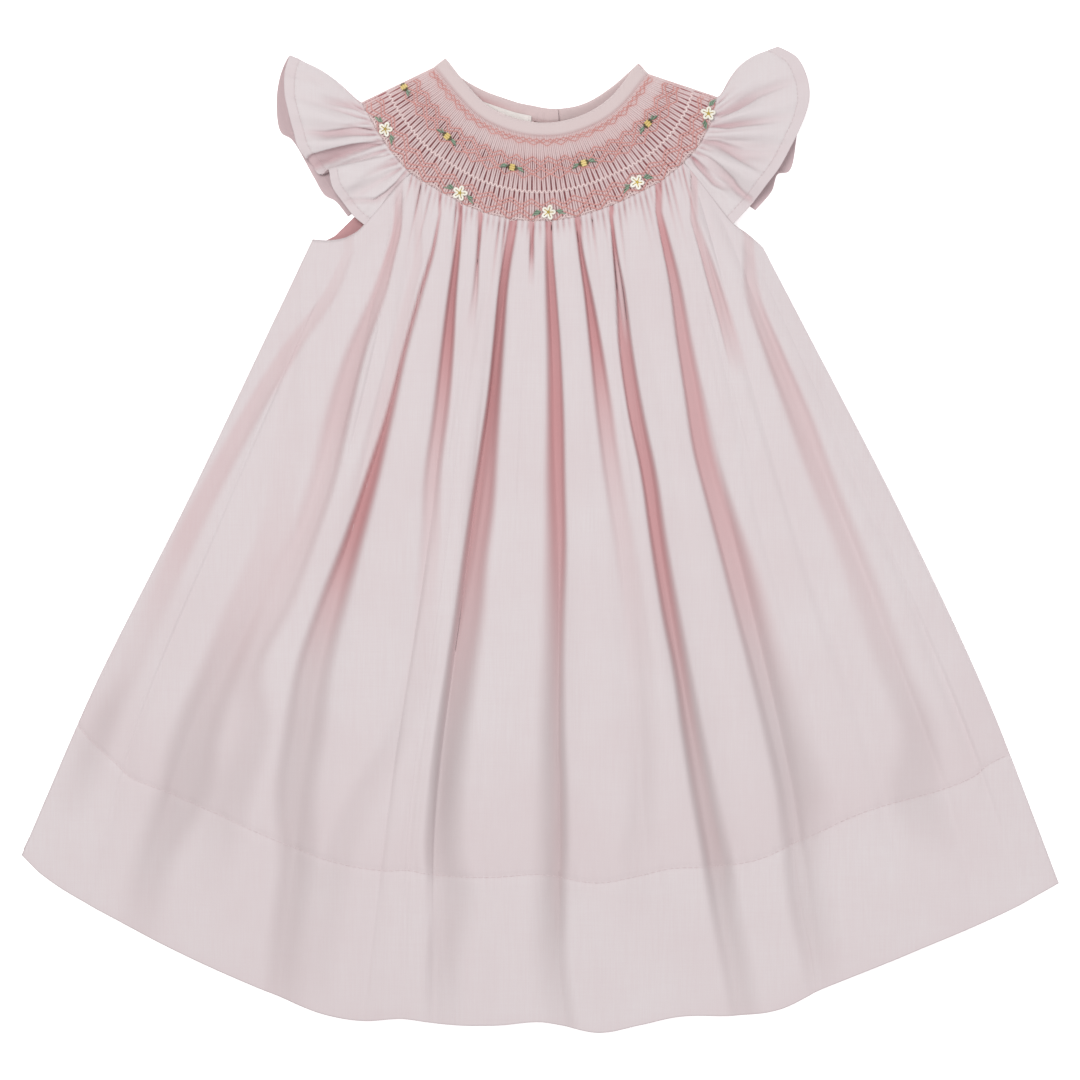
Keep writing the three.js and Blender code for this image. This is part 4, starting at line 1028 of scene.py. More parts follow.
def rosebuds(yellow, olive):
    """Three bullion knots side by side, with dark stitches at their ends."""
    table = place_on_yoke()
    knots, ends = Bundle(), Bundle()
    for x, y in BUDS:
        base, along, away = yoke_frame(table, x, y)
        for row, length in ((-1.0, 2.9), (0, 3.5), (1.0, 3.0)):
            t = np.linspace(-1, 1, 29)
            path = stitch(base, along, away, np.stack((t * length / 2, row + 0 * t), 1), 0.45)
            path[:, 2] += 0.35 * (1 - t**2)
            swell = 0.56 * np.sqrt(np.maximum(0.12, 1 - t**4)) * (1 + 0.1 * np.sin(t * 26))
            knots.add(*tube(path, swell, 8))
            for side in (-1, 1):
                start, end = (side * length * 0.34, row), (side * (length / 2 + 0.6), row * 0.6)
                ends.add(*tube(arc_stitch(base, along, away, start, end, 0.5, 0.6), 0.32, 6))
    knots.made("bud_knots", yellow, "smocking")
    ends.made("bud_ends", olive, "smocking")


def leaves(green, dark_green):
    """Small slanting stitches on both sides of each bud and flower."""
    table = place_on_yoke()
    light, shade = Bundle(), Bundle()
    for (x, y), reach, count in [(p, 2.3, 4) for p in BUDS] + [(p, 3.7, 5) for p in DAISIES]:
        base, along, away = yoke_frame(table, x, y)
        # The first bud's outer leaf would pass the yoke's end.
        for side in (1,) if (x, y) == BUDS[0] else (-1, 1):
            for n in range(count):
                spread = n - (count - 1) / 2
                start = (side * (reach + 0.25 * n), 0.28 * spread)
                end = (side * (reach + 2.1 + 0.5 * n), 0.62 * spread + dice.uniform(-0.35, 0.35))
                target = shade if n % 2 else light
                target.add(*tube(arc_stitch(base, along, away, start, end, 0.2, 0.4), 0.27, 6))
    light.made("leaf_stitches", green, "smocking")
    shade.made("leaf_stitches_dark", dark_green, "smocking")


def daisies(white, gold):
    """Five looped petals and a star of straight stitches in the middle."""
    table = place_on_yoke()
    petals, stars = Bundle(), Bundle()
    for number, (x, y) in enumerate(DAISIES):
        base, along, away = yoke_frame(table, x, y)
        turn0 = 0.3 + 0.5 * number
        for n in range(5):
            turn = turn0 + n * 2 * math.pi / 5
            u = np.array((math.cos(turn), math.sin(turn)))
            v = np.array((-u[1], u[0]))
            t = np.linspace(0, 2 * math.pi, 22, endpoint=False)
            length = 1.15 + dice.uniform(-0.12, 0.12)
            flat = u * (0.8 + length * (1 - np.cos(t)))[:, None]
            flat = flat + v * (0.82 * np.sin(t) * np.sin(t / 2) ** 0.6)[:, None]
            path = stitch(base, along, away, flat, 0.55)
            path[:, 2] += 0.25 * np.sin(t / 2)
            petals.add(*ring_tube(path, 0.57, 7))
            start, end = tuple(u * 0.1), tuple(u * 2.0)
            stars.add(*tube(arc_stitch(base, along, away, start, end, 0.75, 0.35), 0.26, 6))
        for n in range(4):
            turn = n * math.pi / 2
            start = (0.4 * math.cos(turn), 0.4 * math.sin(turn))
            stars.add(*tube(arc_stitch(base, along, away, start, (0, 0), 1.0, 0.3), 0.38, 6))
    petals.made("daisy_petals", white, "smocking")
    stars.made("daisy_centres", gold, "smocking")


# Sleeves

SLEEVE_RUN = 36
SLEEVE_STITCH = 0.878
SLEEVE_STEPS = 12
# Each crease: share of the yoke's edge where it is gathered, X and Y on the sleeve's hem, heights on the
# way out, how far it bows, and 1 where it lies on the back layer.
LEFT_SLEEVE = (
    (0.1865, -82.5, 148.1, (7.4, 6.6, 5.8), 0, 0),
    (0.178, -87.3, 152.0, (8.6, 8.4, 7.0), 0, 0),
    (0.168, -92.4, 158.4, (7.4, 7.4, 7.2), 0, 0),
    (0.152, -97.5, 166.0, (9.8, 11.5, 10.0), 0, 0),
    (0.136, -99.2, 173.7, (9.4, 11.0, 9.8), 0, 0),
    (0.122, -103.5, 171.8, (6.2, 5.2, 4.4), 0, 0),
    (0.108, -110.4, 179.6, (8.0, 9.0, 8.6), 0, 0),
    (0.096, -113.8, 185.0, (10.0, 12.0, 11.0), 0, 0),
    (0.08, -115.6, 191.5, (7.8, 9.4, 10.0), 0, 0),
    (0.062, -118.0, 201.0, (9.8, 12.5, 12.2), 0, 0),
    (0.042, -119.8, 210.0, (7.8, 10.8, 11.6), 0, 0),
    (0.022, -119.6, 219.5, (8.4, 11.0, 11.0), 1.2, 0),
    (0.003, -117.9, 227.3, (4.4, 6.2, 6.8), 2.8, 0),
    (0.006, -121.8, 220.5, (1.8, 2.2, 2.4), 2.0, 1),
    (0.022, -124.1, 208.5, (1.0, 0.9, 0.8), 0, 1),
    (0.045, -122.3, 192.5, (1.0, 0.9, 0.8), 0, 1),
    (0.07, -117.0, 188.8, (1.0, 1.6, 2.0), 0, 1),
    (0.1, -106.5, 170.8, (1.2, 2.0, 2.4), 0, 1),
    (0.13, -101.5, 162.6, (1.0, 1.0, 0.8), 0, 1),
    (0.158, -96.5, 159.8, (1.2, 1.8, 2.0), 0, 1),
    (0.178, -90.5, 152.5, (1.0, 0.9, 0.8), 0, 1),
)
RIGHT_SLEEVE = (
    (0.8385, 90.9, 148.6, (7.6, 7.0, 6.0), 0, 0),
    (0.846, 95.5, 153.4, (9.0, 8.6, 7.0), 0, 0),
    (0.856, 100.8, 159.5, (6.8, 6.0, 5.8), 0, 0),
    (0.87, 106.2, 166.7, (10.5, 12.0, 9.6), 0.8, 0),
    (0.886, 112.0, 174.2, (8.2, 8.4, 8.6), 0.8, 0),
    (0.899, 117.0, 183.1, (6.6, 7.2, 8.2), 0, 0),
    (0.914, 121.2, 191.6, (10.0, 11.0, 10.0), 0, 0),
    (0.93, 124.4, 199.2, (8.4, 9.8, 9.8), 0, 0),
    (0.945, 126.3, 208.1, (9.6, 12.0, 11.5), 0, 0),
    (0.959, 125.0, 217.3, (7.0, 10.4, 11.6), 1.0, 0),
    (0.977, 120.5, 225.9, (8.4, 11.6, 11.8), 2.6, 0),
    (0.996, 111.5, 231.5, (4.6, 6.4, 7.0), 5.0, 0),
    (0.993, 117.0, 227.6, (1.8, 2.2, 2.4), 3.4, 1),
    (0.975, 122.0, 211.0, (1.0, 0.9, 0.8), 1.0, 1),
    (0.952, 120.8, 188.8, (1.0, 0.9, 0.8), 0, 1),
    (0.928, 117.5, 174.0, (1.0, 0.9, 0.8), 0, 1),
    (0.904, 112.0, 172.3, (1.2, 2.2, 2.4), 0, 1),
    (0.876, 109.3, 164.6, (1.0, 0.9, 0.8), 0, 1),
    (0.85, 101.5, 155.4, (1.0, 0.9, 0.8), 0, 1),
)


def crease_points(creases, out):
    """Points of each crease of a sleeve, (rows, creases, 3)."""
    gather = np.array([c[0] for c in creases])
    start = YOKE_EDGE.at(gather) + YOKE_EDGE.out(gather) * (SEAM_GAP + 0.4)
    end = np.array([c[1:3] for c in creases], float)
    reach = end - start
    shoulder = np.stack((-reach[:, 1], reach[:, 0]), 1) / np.linalg.norm(reach, axis=1)[:, None]
    shoulder *= np.sign(end[:, :1])
    bow = np.array([c[4] for c in creases])[:, None]
    plan = start + reach * out[:, None, None] + shoulder * bow * np.sin(np.pi * out)[:, None, None]
    middle = (yoke_inside(gather, 1) + yoke_outside(gather, 1)) / 2
    first = np.where(np.array([c[5] for c in creases]) == 1, 1.0, middle)
    heights = np.concatenate((first[None, :], np.array([c[3] for c in creases]).T))
    z = through((0, 0.33, 0.66, 1), heights, out)
    return np.concatenate((plan, np.maximum(0.5, z)[..., None]), -1)


def centripetal(points, steps):
    """Smooth curves through points along axis 1, sampled steps times between each pair."""
    before = 2 * points[:, :1] - points[:, 1:2]
    beyond = 2 * points[:, -1:] - points[:, -2:-1]
    ends = np.concatenate((before, points, beyond), 1)
    p0, p1, p2, p3 = ends[:, :-3], ends[:, 1:-2], ends[:, 2:-1], ends[:, 3:]
    gap = [np.sqrt(np.linalg.norm(b - a, axis=-1, keepdims=True)) for a, b in ((p0, p1), (p1, p2), (p2, p3))]
    slope1 = ((p1 - p0) / gap[0] - (p2 - p0) / (gap[0] + gap[1]) + (p2 - p1) / gap[1]) * gap[1]
    slope2 = ((p2 - p1) / gap[1] - (p3 - p1) / (gap[1] + gap[2]) + (p3 - p2) / gap[2]) * gap[1]
    square = -3 * p1 + 3 * p2 - 2 * slope1 - slope2
    cube = 2 * p1 - 2 * p2 + slope1 + slope2
    t = (np.arange(steps) / steps)[None, None, :, None]
    a, b, c, d = (v[:, :, None] for v in (p1, slope1, square, cube))
    drawn = a + b * t + c * t**2 + d * t**3
    return np.concatenate((drawn.reshape(len(points), -1, 3), points[:, -1:]), 1)


# Folds of each sleeve from the yoke out: how soft the cloth is on the left and the right of its run,
# then X and Y of a place, half width, how deep it is cut and how much pink painted shade it gets.
LEFT_SLEEVE_FOLDS = (
    (1.2, 4.0, (
        (-82, 201.8, 0.5, 0.6, 0.3), (-90, 203.8, 0.8, 1.6, 0.4), (-97, 205.2, 0.8, 1.0, 0.2),
        (-104, 206.9, 0.8, 0, 0),
    )),
    (1.5, 1.5, (
        (-79, 196.6, 0.3, 0.4, 0.3), (-87, 194.9, 0.4, 0.8, 0.2), (-93, 193.9, 0.4, 0, 0),
    )),
    (4.0, 0.8, (
        (-77.5, 193.4, 0.5, 0.6, 0.3), (-92.8, 192.0, 0.7, 1.8, 0.35), (-100.4, 190.8, 0.7, 1.6, 0.28),
        (-111, 191.2, 0.7, 0, 0),
    )),
    (0.7, 0.9, (
        (-73, 186.8, 0.6, 1.2, 0.3), (-80, 185.2, 1.5, 2.6, 0.45), (-88, 183.0, 2.2, 3.6, 0.55),
        (-96, 180.4, 2.8, 3.8, 0.6), (-106, 177.3, 3.4, 3.0, 0.5),
    )),
    (1.0, 3.0, (
        (-65.5, 178.4, 0.4, 0.8, 0.35), (-72, 175.5, 0.6, 1.4, 0.35), (-79, 172.1, 0.6, 0.5, 0.1),
        (-84, 170, 0.6, 0, 0),
    )),
    (3.0, 0.8, (
        (-62.5, 173.5, 0.3, 0.5, 0.3), (-67.3, 167.4, 0.5, 1.6, 0.35), (-72, 163.0, 0.5, 1.8, 0.3),
        (-77.3, 159.6, 0.5, 1.8, 0.3), (-83, 159.8, 0.5, 1.2, 0.2), (-90, 159.6, 0.5, 0.6, 0.1),
    )),
    (2.5, 2.5, (
        (-98, 214, 1, 0, 0), (-106, 216, 1.5, 0.8, 0.05), (-117, 219, 1.5, 0.8, 0.05),
    )),
)
RIGHT_SLEEVE_FOLDS = (
    (3.5, 1.0, (
        (84, 198.8, 0.5, 0.6, 0.3), (92.2, 202.9, 0.8, 2.0, 0.4), (97, 206, 0.9, 1.8, 0.3),
        (102, 208.8, 0.9, 1.2, 0.14), (115, 213.5, 0.9, 0.4, 0.04),
    )),
    (3.5, 1.0, (
        (79, 194.4, 0.4, 0.6, 0.35), (88.7, 194.1, 0.6, 1.6, 0.35), (94.9, 195.2, 0.7, 1.4, 0.24),
        (104, 196, 0.8, 0.8, 0.1), (114, 197, 0.8, 0, 0),
    )),
    (0.9, 4.0, (
        (76, 187.6, 0.4, 0.6, 0.35), (83.2, 186.4, 0.7, 1.6, 0.35), (88.7, 184.5, 1.2, 2.0, 0.32),
        (95.6, 182, 1.4, 1.4, 0.2), (105, 181, 1.4, 0.8, 0.1), (115, 181, 1.2, 0, 0),
    )),
    (2.5, 1.2, (
        (86, 184.2, 0.4, 0.3, 0.1), (93, 180, 0.6, 1.2, 0.18), (102.5, 173.4, 0.6, 0.3, 0.05),
    )),
    (1.2, 2.5, (
        (72, 183, 0.4, 0.6, 0.3), (78.4, 179.4, 0.6, 1.2, 0.2), (84, 174.4, 0.8, 1.4, 0.16),
        (90, 168.5, 0.8, 1.8, 0.22), (94, 163.8, 0.6, 1.8, 0.28), (99, 160.4, 0.5, 1.2, 0.3),
    )),
    (1.0, 1.8, (
        (70.1, 180.6, 0.5, 0.8, 0.4), (76.3, 174.4, 1.0, 2.0, 0.42), (81.6, 168.2, 1.2, 2.2, 0.4),
        (86, 165.9, 0.8, 1.0, 0.15), (90, 165.6, 0.8, 0, 0),
    )),
)


def folded(x, y, folds):
    """How far folds along bent lines cut into the cloth at each place, and the pink painted shade they get
    there.
    """
    cut, fold_shade = np.zeros(x.shape), np.zeros(x.shape)
    for soft_left, soft_right, places in folds:
        nearest = np.full(x.shape, 1e9)
        side = np.zeros(x.shape)
        half, depth, shade = np.zeros(x.shape), np.zeros(x.shape), np.zeros(x.shape)
        for a, b in zip(np.array(places[:-1], float), np.array(places[1:], float)):
            run = b[:2] - a[:2]
            at = np.clip(((x - a[0]) * run[0] + (y - a[1]) * run[1]) / (run @ run), 0, 1)
            off_x, off_y = x - a[0] - at * run[0], y - a[1] - at * run[1]
            away = np.hypot(off_x, off_y)
            closer = away < nearest
            nearest = np.where(closer, away, nearest)
            side = np.where(closer, run[0] * off_y - run[1] * off_x, side)
            half, depth, shade = (
                np.where(closer, lerp(a[k], b[k], at), v) for k, v in ((2, half), (3, depth), (4, shade))
            )
        past = (nearest - half) / np.where(side > 0, soft_left, soft_right)
        cut += depth * (1 - ease(past, -0.3, 1))
        fold_shade += shade * (1 - ease(past, -0.2, 0.9))
    return cut, fold_shade


def sleeve(name, node, creases, folds, material, seed):
    left = creases[0][1] < 0
    ordered = creases[::-1] if left else creases
    out = np.concatenate((
        np.linspace(0, 0.12, 10), np.linspace(0.15, 0.84, 26),
        [0.866, 0.876, 0.884, 0.892, 0.91, 0.94, 0.97, 0.99, 1],
    ))
    middle = centripetal(crease_points(ordered, out), SLEEVE_STEPS)
    middle[..., 2] = np.maximum(0.5, middle[..., 2])
    columns = np.arange(middle.shape[1]) / SLEEVE_STEPS
    line = columns[None, :]
    o = out[:, None]
    distance = o * SLEEVE_RUN
    gather = np.interp(columns, np.arange(len(ordered)), [c[0] for c in ordered])[None, :]
    on_top = np.interp(columns, np.arange(len(ordered)), [1 - c[5] for c in ordered])[None, :]
    roll = np.random.default_rng(seed)
    depth = roll.uniform(0.5, 1.3, PLEATS)
    reach = np.where(roll.random(PLEATS) < 0.35, roll.uniform(7, 14, PLEATS), roll.uniform(2.5, 5, PLEATS))
    dimple = released_pleats(gather, distance, depth, reach) * on_top * (0.3 + 0.7 * ease(distance, 0, 1.5))
    low = middle[..., 2] < 3
    bend = creased(line, o, crease_noise(40, (0, len(ordered) - 1), seed + 1, (0.2, 0.6), (0.14, 0.35)))
    bend = np.where(low, np.abs(bend) * 0.4, bend)
    cut, fold_shade = folded(middle[..., 0], middle[..., 1], folds)
    groove = bell(o - SLEEVE_STITCH, 0.007)
    rim = ease(o, SLEEVE_STITCH, SLEEVE_STITCH + 0.006)
    pucker = 0.22 * np.sin(line * 9 + 2 * np.sin(line * 1.3)) * bell(o - SLEEVE_STITCH, 0.03)
    at_yoke = 0.9 * np.exp(-np.square(distance / 2.5)) * on_top
    shift = bend + at_yoke - dimple * 0.9 - cut * on_top + 0.15 * rim - 0.2 * groove
    shift = shift + pucker * np.where(low, 0.3, 1)
    middle = middle + normals(middle) * np.where(low, np.maximum(shift, 0), shift)[..., None]
    middle[..., 2] = np.maximum(middle[..., 2], 0.3)
    # Its raglan edge dives under the skirt's, and its gathered edge under the yoke's.
    seam, beside = (-1, -2) if left else (0, 1)
    sideways = middle[:, seam] - middle[:, beside]
    sideways /= np.maximum(np.linalg.norm(sideways[:, :2], axis=1, keepdims=True), 1e-9)
    middle[:, seam] += sideways * (0.6, 0.6, 0) - (0, 0, 0.3)
    back_up = middle[0] - middle[1]
    back_up /= np.linalg.norm(back_up[:, :2], axis=1, keepdims=True)
    under_seam = middle[0] + back_up * (1.2, 1.2, 0) - (0, 0, 0.3)
    middle = np.concatenate((under_seam[None], middle))
    out_of = normals(middle)
    outer = middle + out_of * 0.25
    inner = middle - out_of * 0.25
    for surface in (outer, inner):
        surface[..., 2] = np.maximum(surface[..., 2], 0.02)
    # Painted shade: in the troughs between the creases, in the folds and the dimples, and a little on the
    # back layer under the front.
    trough = np.zeros_like(dimple)
    heights = np.array([np.interp(0.5, (0, 0.33, 0.66, 1), (8,) + c[3]) for c in ordered])
    for i in range(1, len(ordered) - 1):
        drop = (heights[i - 1] + heights[i + 1]) / 2 - heights[i]
        if drop > 0.7 and ordered[i][5] == 0:
            here = np.clip(drop / 3, 0, 1) * bell(line - i, 0.3) * (1 - 0.6 * ease(o, 0.6, 1))
            trough = np.maximum(trough, here)
    dark = np.clip(trough * 0.15 + fold_shade * on_top + dimple * 0.5 + 0.12 * (1 - on_top), 0, 1)
    doubled = rim * np.ones_like(dark) * 0.5
    dark, doubled = np.concatenate((dark[:1], dark)), np.concatenate((doubled[:1], doubled))
    made = cloth(name, node, outer, inner, material, "cloth", deep=(dark, 0.4), doubled=(doubled, 0.4))
    groove_row = 1 + int(np.argmin(np.abs(out - SLEEVE_STITCH + 0.002)))
    return made, outer[groove_row][on_top[0] > 0.5]


# Back yokes, bindings, label and buttons

BACK_PLEATS = 50
LABEL_X = (-28, -4)
LABEL_HEIGHT = 14
LABEL_PEEK = 2.6
HOLE_OFF = 0.85
HOLE_RADIUS = 0.48


def lap_share(x):
    return 1 - ease(np.abs(x - LAP_X), LAP / 2 + 2, LAP / 2 + 10)


def back_bottom(x, on_top):
    return lap_share(x) * (BUTTON_THICKNESS + SEAM_GAP + (LAPPED_CLOTH + SEAM_GAP if on_top else 0))


def back_thickness(x, full):
    return lerp(full, LAPPED_CLOTH, lap_share(x))


def back_yoke(name, node, is_left, material, threads):
    """One side of the back, its smocked face on the table. It runs plain into the button lap."""
    wing_x = LAP_X - 16 if is_left else LAP_X + 16
    lap_x = LAP_X + (LAP / 2 if is_left else -LAP / 2)
    neck_end, edge_end = BACK_NECK.share_at(wing_x), YOKE_EDGE.share_at(wing_x)
    neck_lap, edge_lap = BACK_NECK.share_at(lap_x), YOKE_EDGE.share_at(lap_x)
    down = np.linspace(0, 1, 38)
    roll = np.random.default_rng(31 if is_left else 32)
    opened = slot_opening(down, roll)[:, :BACK_PLEATS + 1]
    along, height, dark = smocked(np.linspace(0, 1, BACK_PLEATS + 1), down, opened, roll)
    along = np.clip(along, 0, 1)
    extra = np.linspace(0, 1, 14)[1:]

    def side_by_side(pleated, plain):
        return np.concatenate((pleated, plain) if is_left else (plain, pleated), 1)

    def pleated_run(t, end):
        return t * end if is_left else lerp(end, 1, t)

    def shares_of(end, lap):
        plain = lerp(end, lap, extra) if is_left else lerp(lap, end, extra - extra[0])
        return side_by_side(pleated_run(along, end), np.tile(plain, (len(down), 1)))

    def neck_at(share):
        return BACK_NECK.at(share) + BACK_NECK.out(share) * SEAM_GAP

    neck_share, edge_share = shares_of(neck_end, neck_lap), shares_of(edge_end, edge_lap)
    height, dark = (side_by_side(grid, np.zeros((len(down), len(extra)))) for grid in (height, dark))
    shape = neck_share.shape
    neck = neck_at(neck_share.ravel()).reshape(*shape, 2)
    edge = YOKE_EDGE.at(edge_share.ravel()).reshape(*shape, 2)
    plan = neck + (edge - neck) * down[:, None, None]
    x = plan[..., 0]
    bottom = back_bottom(x, is_left) + 0.02
    calm = 1 - ease(lap_share(x), 0.0, 0.6)
    under = bottom - height * calm * 0.85
    over = bottom + back_thickness(x, BACK_YOKE) - 0.45 * np.clip(-height, 0, 1) * calm
    over = np.maximum(over, under + 0.25)
    # Painted shade: the upper face lies under the front yoke and is darker still in its open slots; the face
    # on the table is darker in its slots.
    made = cloth(
        name, node, with_height(plan, over), with_height(plan, under), material, "cloth",
        deep=(np.clip(0.45 + 0.4 * dark, 0, 1), np.clip(dark, 0, 1)), doubled=(0.5, 0.5),
    )
    # The threads of its smocked face lie against the table.
    place = np.arange(1, BACK_PLEATS - 1, 0.5)
    t = place / BACK_PLEATS
    start, end = neck_at(pleated_run(t, neck_end)), YOKE_EDGE.at(pleated_run(t, edge_end))
    for period, phase, low, high in TRELLIS[2:]:
        plan_at = start + (end - start) * zigzag(place, period, low, high, phase)[:, None]
        z = back_bottom(plan_at[:, 0], is_left) + 0.26 + 0.25 * np.cos(np.pi * place) ** 2
        threads.add(*tube(with_height(plan_at, z), 0.22, 5))
    return made


def binding(name, node, seam, start, end, bottom, thickness, material, tuck=0.0, seed=40):
    """A strip folded over the neck edge, a little puckered, with its seam sunk on both sides."""
    across = np.array((0, 0.025, 0.06, 0.11, 0.18, 0.28, 0.4, 0.55, 0.7, 0.8, 0.87, 0.92, 0.96, 0.985, 1))
    round_ = 1 - 0.62 * np.abs(2 * across - 1) ** 5
    shares = np.linspace(start, end, 190)
    plan = seam.at(shares)[None] - seam.out(shares)[None] * (BINDING_WIDTH * (1 - across))[:, None, None]
    roll = np.random.default_rng(seed)
    ripple = sum(
        roll.uniform(0.02, 0.07) * np.sin(shares * seam.length / roll.uniform(1.2, 4.5) + roll.uniform(0, 6))
        for _ in range(5)
    )
    low = bottom(shares)[None, :] * np.ones((len(across), 1))
    z = low + thickness(shares)[None, :] * round_[:, None]
    z += ripple[None, :] * (bell(across - 0.9, 0.25) + 0.5 * bell(across - 0.1, 0.2))[:, None]
    z -= 0.16 * bell(across - 0.87, 0.03)[:, None]
    # Painted shade along the sunk seam.
    groove = 0.25 * bell(across - 0.87, 0.04)[:, None]
    if tuck:
        past = shares - lerp(start, end, tuck)
        z -= 0.35 * (bell(past, 0.012)[None, :] + 0.7 * bell(past + 0.03, 0.008)[None, :])
        # Painted shade over the back strip, most near X = -28.
        groove = groove + 0.2 + 0.65 * bell(plan[..., 0] + 28, 16) * ease(across, 0.2, 0.8)[:, None]
    z = np.maximum(z, low + 0.3)
    return cloth(
        name, node, with_height(plan, z), with_height(plan, low), material, "binding",
        deep=(groove, 0.3), doubled=(0, 0),
    )


def neck_bindings(material):
    def front_bottom(share):
        return lerp(3.1, 7.0, dome(share))

    front = binding(
        "neck_binding_front_strip", "neck_binding_front", NECK, 0, 1, front_bottom,
        lambda share: lerp(1.6, BINDING_THICKNESS + 0.5, dome(share)), material, seed=41,
    )
    backs = []
    for is_left in (True, False):
        start = 0 if is_left else float(BACK_NECK.share_at(LAP_X - LAP / 2))
        end = float(BACK_NECK.share_at(LAP_X + LAP / 2)) if is_left else 1
        side = "left" if is_left else "right"
        backs.append(binding(
            f"neck_binding_back_{side}_strip", f"neck_binding_back_{side}", BACK_NECK, start, end,
            lambda share, on_top=is_left: back_bottom(BACK_NECK.at(share)[:, 0], on_top),
            lambda share: back_thickness(BACK_NECK.at(share)[:, 0], BINDING_THICKNESS), material,
            tuck=0.9 if is_left else 0.12, seed=42 + is_left,
        ))
    return front, *backs


def neck_label(material, thread):
    """A blank woven label, its ends turned under and sewn down."""
    columns = np.linspace(*LABEL_X, 60)
    rows = np.linspace(0, 1, 22)
    share = BACK_NECK.share_at(columns)
    start = BACK_NECK.at(share)[:, 1] + BACK_NECK.out(share)[:, 1] * SEAM_GAP * 2
    base = back_bottom(columns, True) + back_thickness(columns, BACK_YOKE) + SEAM_GAP
    y = start[None, :] + LABEL_PEEK - LABEL_HEIGHT * rows[:, None]
    swell = 0.12 * np.sin(np.pi * rows)[:, None] * np.sin(np.linspace(0, 3 * np.pi, 60))[None, :]
    ends = np.minimum(1, np.minimum(columns - LABEL_X[0], LABEL_X[1] - columns) / 0.6)[None, :]
    top = base[None, :] + 0.35 + 0.3 * ends + swell
    plan = np.stack((np.broadcast_to(columns, y.shape), y), -1)
    outer, inner = with_height(plan, top), with_height(plan, np.broadcast_to(base, y.shape))
    made = cloth(
        "neck_label_cloth", "neck_label", outer, inner, material, "label", deep=(0, 0), doubled=(0, 0),
    )
    stitches = Bundle()
    for column in (3, 56):
        for k in range(1, 20, 2):
            path = outer[k:k + 2, column] + (0, 0, 0.06)
            path = np.linspace(path[0], path[1], 4) + np.outer((0, 0.1, 0.1, 0), (0, 0, 1))
            stitches.add(*tube(path, 0.12, 5))
    stitches.made("label_stitches", thread, "label")
    return made


def button(number, y, material, thread):
    """A button with a raised rim and four holes, its face on the table, sewn through with a cross."""
    sides, r = 72, BUTTON_RADIUS
    profile = (
        (0.05, 0.75), (1.9, 0.75), (2.35, 0.7), (2.75, 0.42), (3.05, 0.12), (3.4, 0.0), (3.9, 0.03),
        (4.25, 0.22), (4.45, 0.55), (r, 0.95), (4.42, 1.35), (4.2, 1.62), (3.7, 1.8), (2.0, 1.8), (0.05, 1.8),
    )
    turn = np.arange(sides) * 2 * math.pi / sides
    circles = [np.stack((rr * np.cos(turn), rr * np.sin(turn), np.full(sides, z)), 1) for rr, z in profile]
    points = np.concatenate(circles)
    index = np.arange(len(points)).reshape(len(profile), sides)
    after = np.roll(index, -1, axis=1)
    faces = np.stack((index[:-1], index[1:], after[1:], after[:-1]), -1).reshape(-1, 4)[:, ::-1].tolist()
    faces += [index[0].tolist()[::-1], index[-1].tolist()]
    made = piece(f"button_{number}_disc", points + (LAP_X, y, 0), faces, material)
    holes = Bundle()
    ring = list(range(20))
    around = np.arange(20) * 2 * math.pi / 20
    for hx, hy in ((-1, -1), (1, -1), (1, 1), (-1, 1)):
        low = np.stack((
            LAP_X + hx * HOLE_OFF + HOLE_RADIUS * np.cos(around),
            y + hy * HOLE_OFF + HOLE_RADIUS * np.sin(around), np.full(20, -1.0),
        ), 1)
        walls = [[i, (i + 1) % 20, 20 + (i + 1) % 20, 20 + i] for i in ring]
        holes.add(np.concatenate((low, low + (0, 0, 4.0))), walls + [ring[::-1], [20 + i for i in ring]])
    cutter_mesh = bpy.data.meshes.new("cutter")
    cutter_mesh.from_pydata((holes.all_points() * MM).tolist(), [], holes.faces)
    cutter = placed("cutter", cutter_mesh)
    bore = made.modifiers.new("holes", "BOOLEAN")
    bore.operation = "DIFFERENCE"
    bore.object = cutter
    bore.solver = "EXACT"
    bored = bpy.data.meshes.new_from_object(made.evaluated_get(bpy.context.evaluated_depsgraph_get()))
    made.modifiers.clear()
    made.data = bored
    bpy.data.objects.remove(cutter)
    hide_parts(f"button_{number}")
    sewing = Bundle()
    for end in ((HOLE_OFF, HOLE_OFF), (HOLE_OFF, -HOLE_OFF)):
        t = np.linspace(0, 1, 13)
        flat = np.outer(2 * t - 1, end)
        z = 0.98 - 0.42 * np.sin(np.pi * t) ** 0.5
        for shift in (-0.16, 0.16):
            aside = (LAP_X + shift, y - shift * np.sign(end[1]))
            sewing.add(*tube(with_height(flat + aside, z), 0.16, 6))
    sewing.made(f"button_{number}_thread", thread, "button")


# Sewn lines

def sewn_line(name, path, length, gap, radius, thread):
    """Running stitches along a path on a surface, each a short raised thread."""
    run = np.concatenate(([0], np.cumsum(np.linalg.norm(np.diff(path, axis=0), axis=1))))
    bundle = Bundle()
    at = 1.0
    while at + length < run[-1]:
        spots = np.linspace(at, at + length, 5)
        points = np.stack([np.interp(spots, run, path[:, k]) for k in range(3)], 1)
        points[:, 2] += (-0.05, 0.1, 0.13, 0.1, -0.05)
        bundle.add(*tube(points, radius, 5))
        at += length + gap
    bundle.made(name, thread, "cloth")


look_at_dress()
studio()

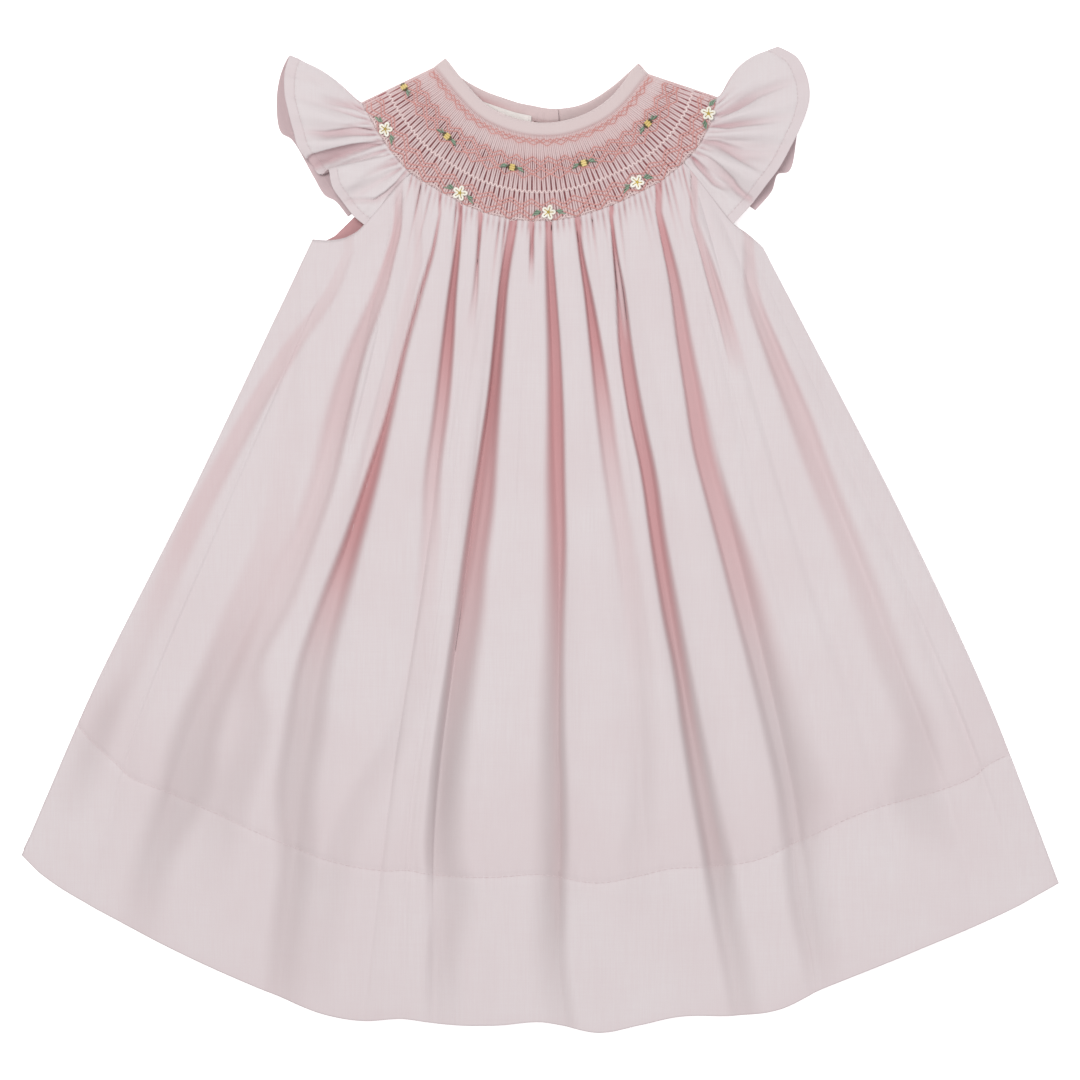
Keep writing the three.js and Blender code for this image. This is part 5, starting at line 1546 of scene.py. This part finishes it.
# Each cloth: its own colour, the colour of its painted shade in folds and hollows, then its colour where it
# lies double.
batiste = cloth_material("batiste", (210, 202.5, 204), (191, 144, 146), (203, 188, 190))
sheer = cloth_material("sheer_batiste", (211, 205, 206), (186, 144, 149), (206, 193, 195))
smocked_cloth = cloth_material("smocked_batiste", (208, 192, 192), (158, 92, 96), (208, 176, 175))
bias_cloth = cloth_material("bias_binding", (206, 192, 191), (186, 146, 148), (202, 184, 184))
tape = cloth_material("woven_tape", (226, 222, 218), (204, 192, 190), (222, 214, 210), pitch=0.5)
salmon = thread_material("salmon_thread", (210, 150, 143), (196, 132, 126))
pale = thread_material("pale_thread", (232, 212, 210), (222, 196, 194))
white = thread_material("white_thread", (240, 238, 228), (226, 222, 208))
yellow = thread_material("yellow_thread", (226, 205, 138), (206, 178, 100))
gold = thread_material("gold_thread", (200, 174, 74), (160, 134, 52))
olive = thread_material("olive_thread", (96, 84, 42), (66, 56, 30))
green = thread_material("green_thread", (146, 168, 146), (122, 148, 124))
dark_green = thread_material("dark_green_thread", (106, 132, 110), (84, 108, 88))
sewing = thread_material("sewing_thread", (212, 198, 199), (204, 186, 188))
pearl = pearl_material()

skirt, hem_line = front_skirt(batiste)
back = back_skirt(batiste)
yoke = front_yoke(smocked_cloth)
smocking_threads(salmon, pale)
rosebuds(yellow, olive)
leaves(green, dark_green)
daisies(white, gold)
sleeve_left, line_left = sleeve("dress_sleeve_left", "sleeve_left", LEFT_SLEEVE, LEFT_SLEEVE_FOLDS, sheer, 61)
sleeve_right, line_right = sleeve(
    "dress_sleeve_right", "sleeve_right", RIGHT_SLEEVE, RIGHT_SLEEVE_FOLDS, sheer, 71,
)
back_threads = Bundle()
yoke_left = back_yoke("dress_back_yoke_left", "back_yoke_left", True, smocked_cloth, back_threads)
yoke_right = back_yoke("dress_back_yoke_right", "back_yoke_right", False, smocked_cloth, back_threads)
back_threads.made("back_smocking_threads", salmon, "smocking")
strips = neck_bindings(bias_cloth)
label = neck_label(tape, sewing)
for number, y in enumerate(BUTTON_YS, 1):
    button(number, y, pearl, sewing)
sewn_line("hem_stitches", hem_line + (0, 0, 0.38), 2.3, 0.7, 0.13, sewing)
for side, line in (("left", line_left), ("right", line_right)):
    sewn_line(f"sleeve_{side}_stitches", line + (0, 0, 0.05), 1.6, 0.5, 0.11, sewing)
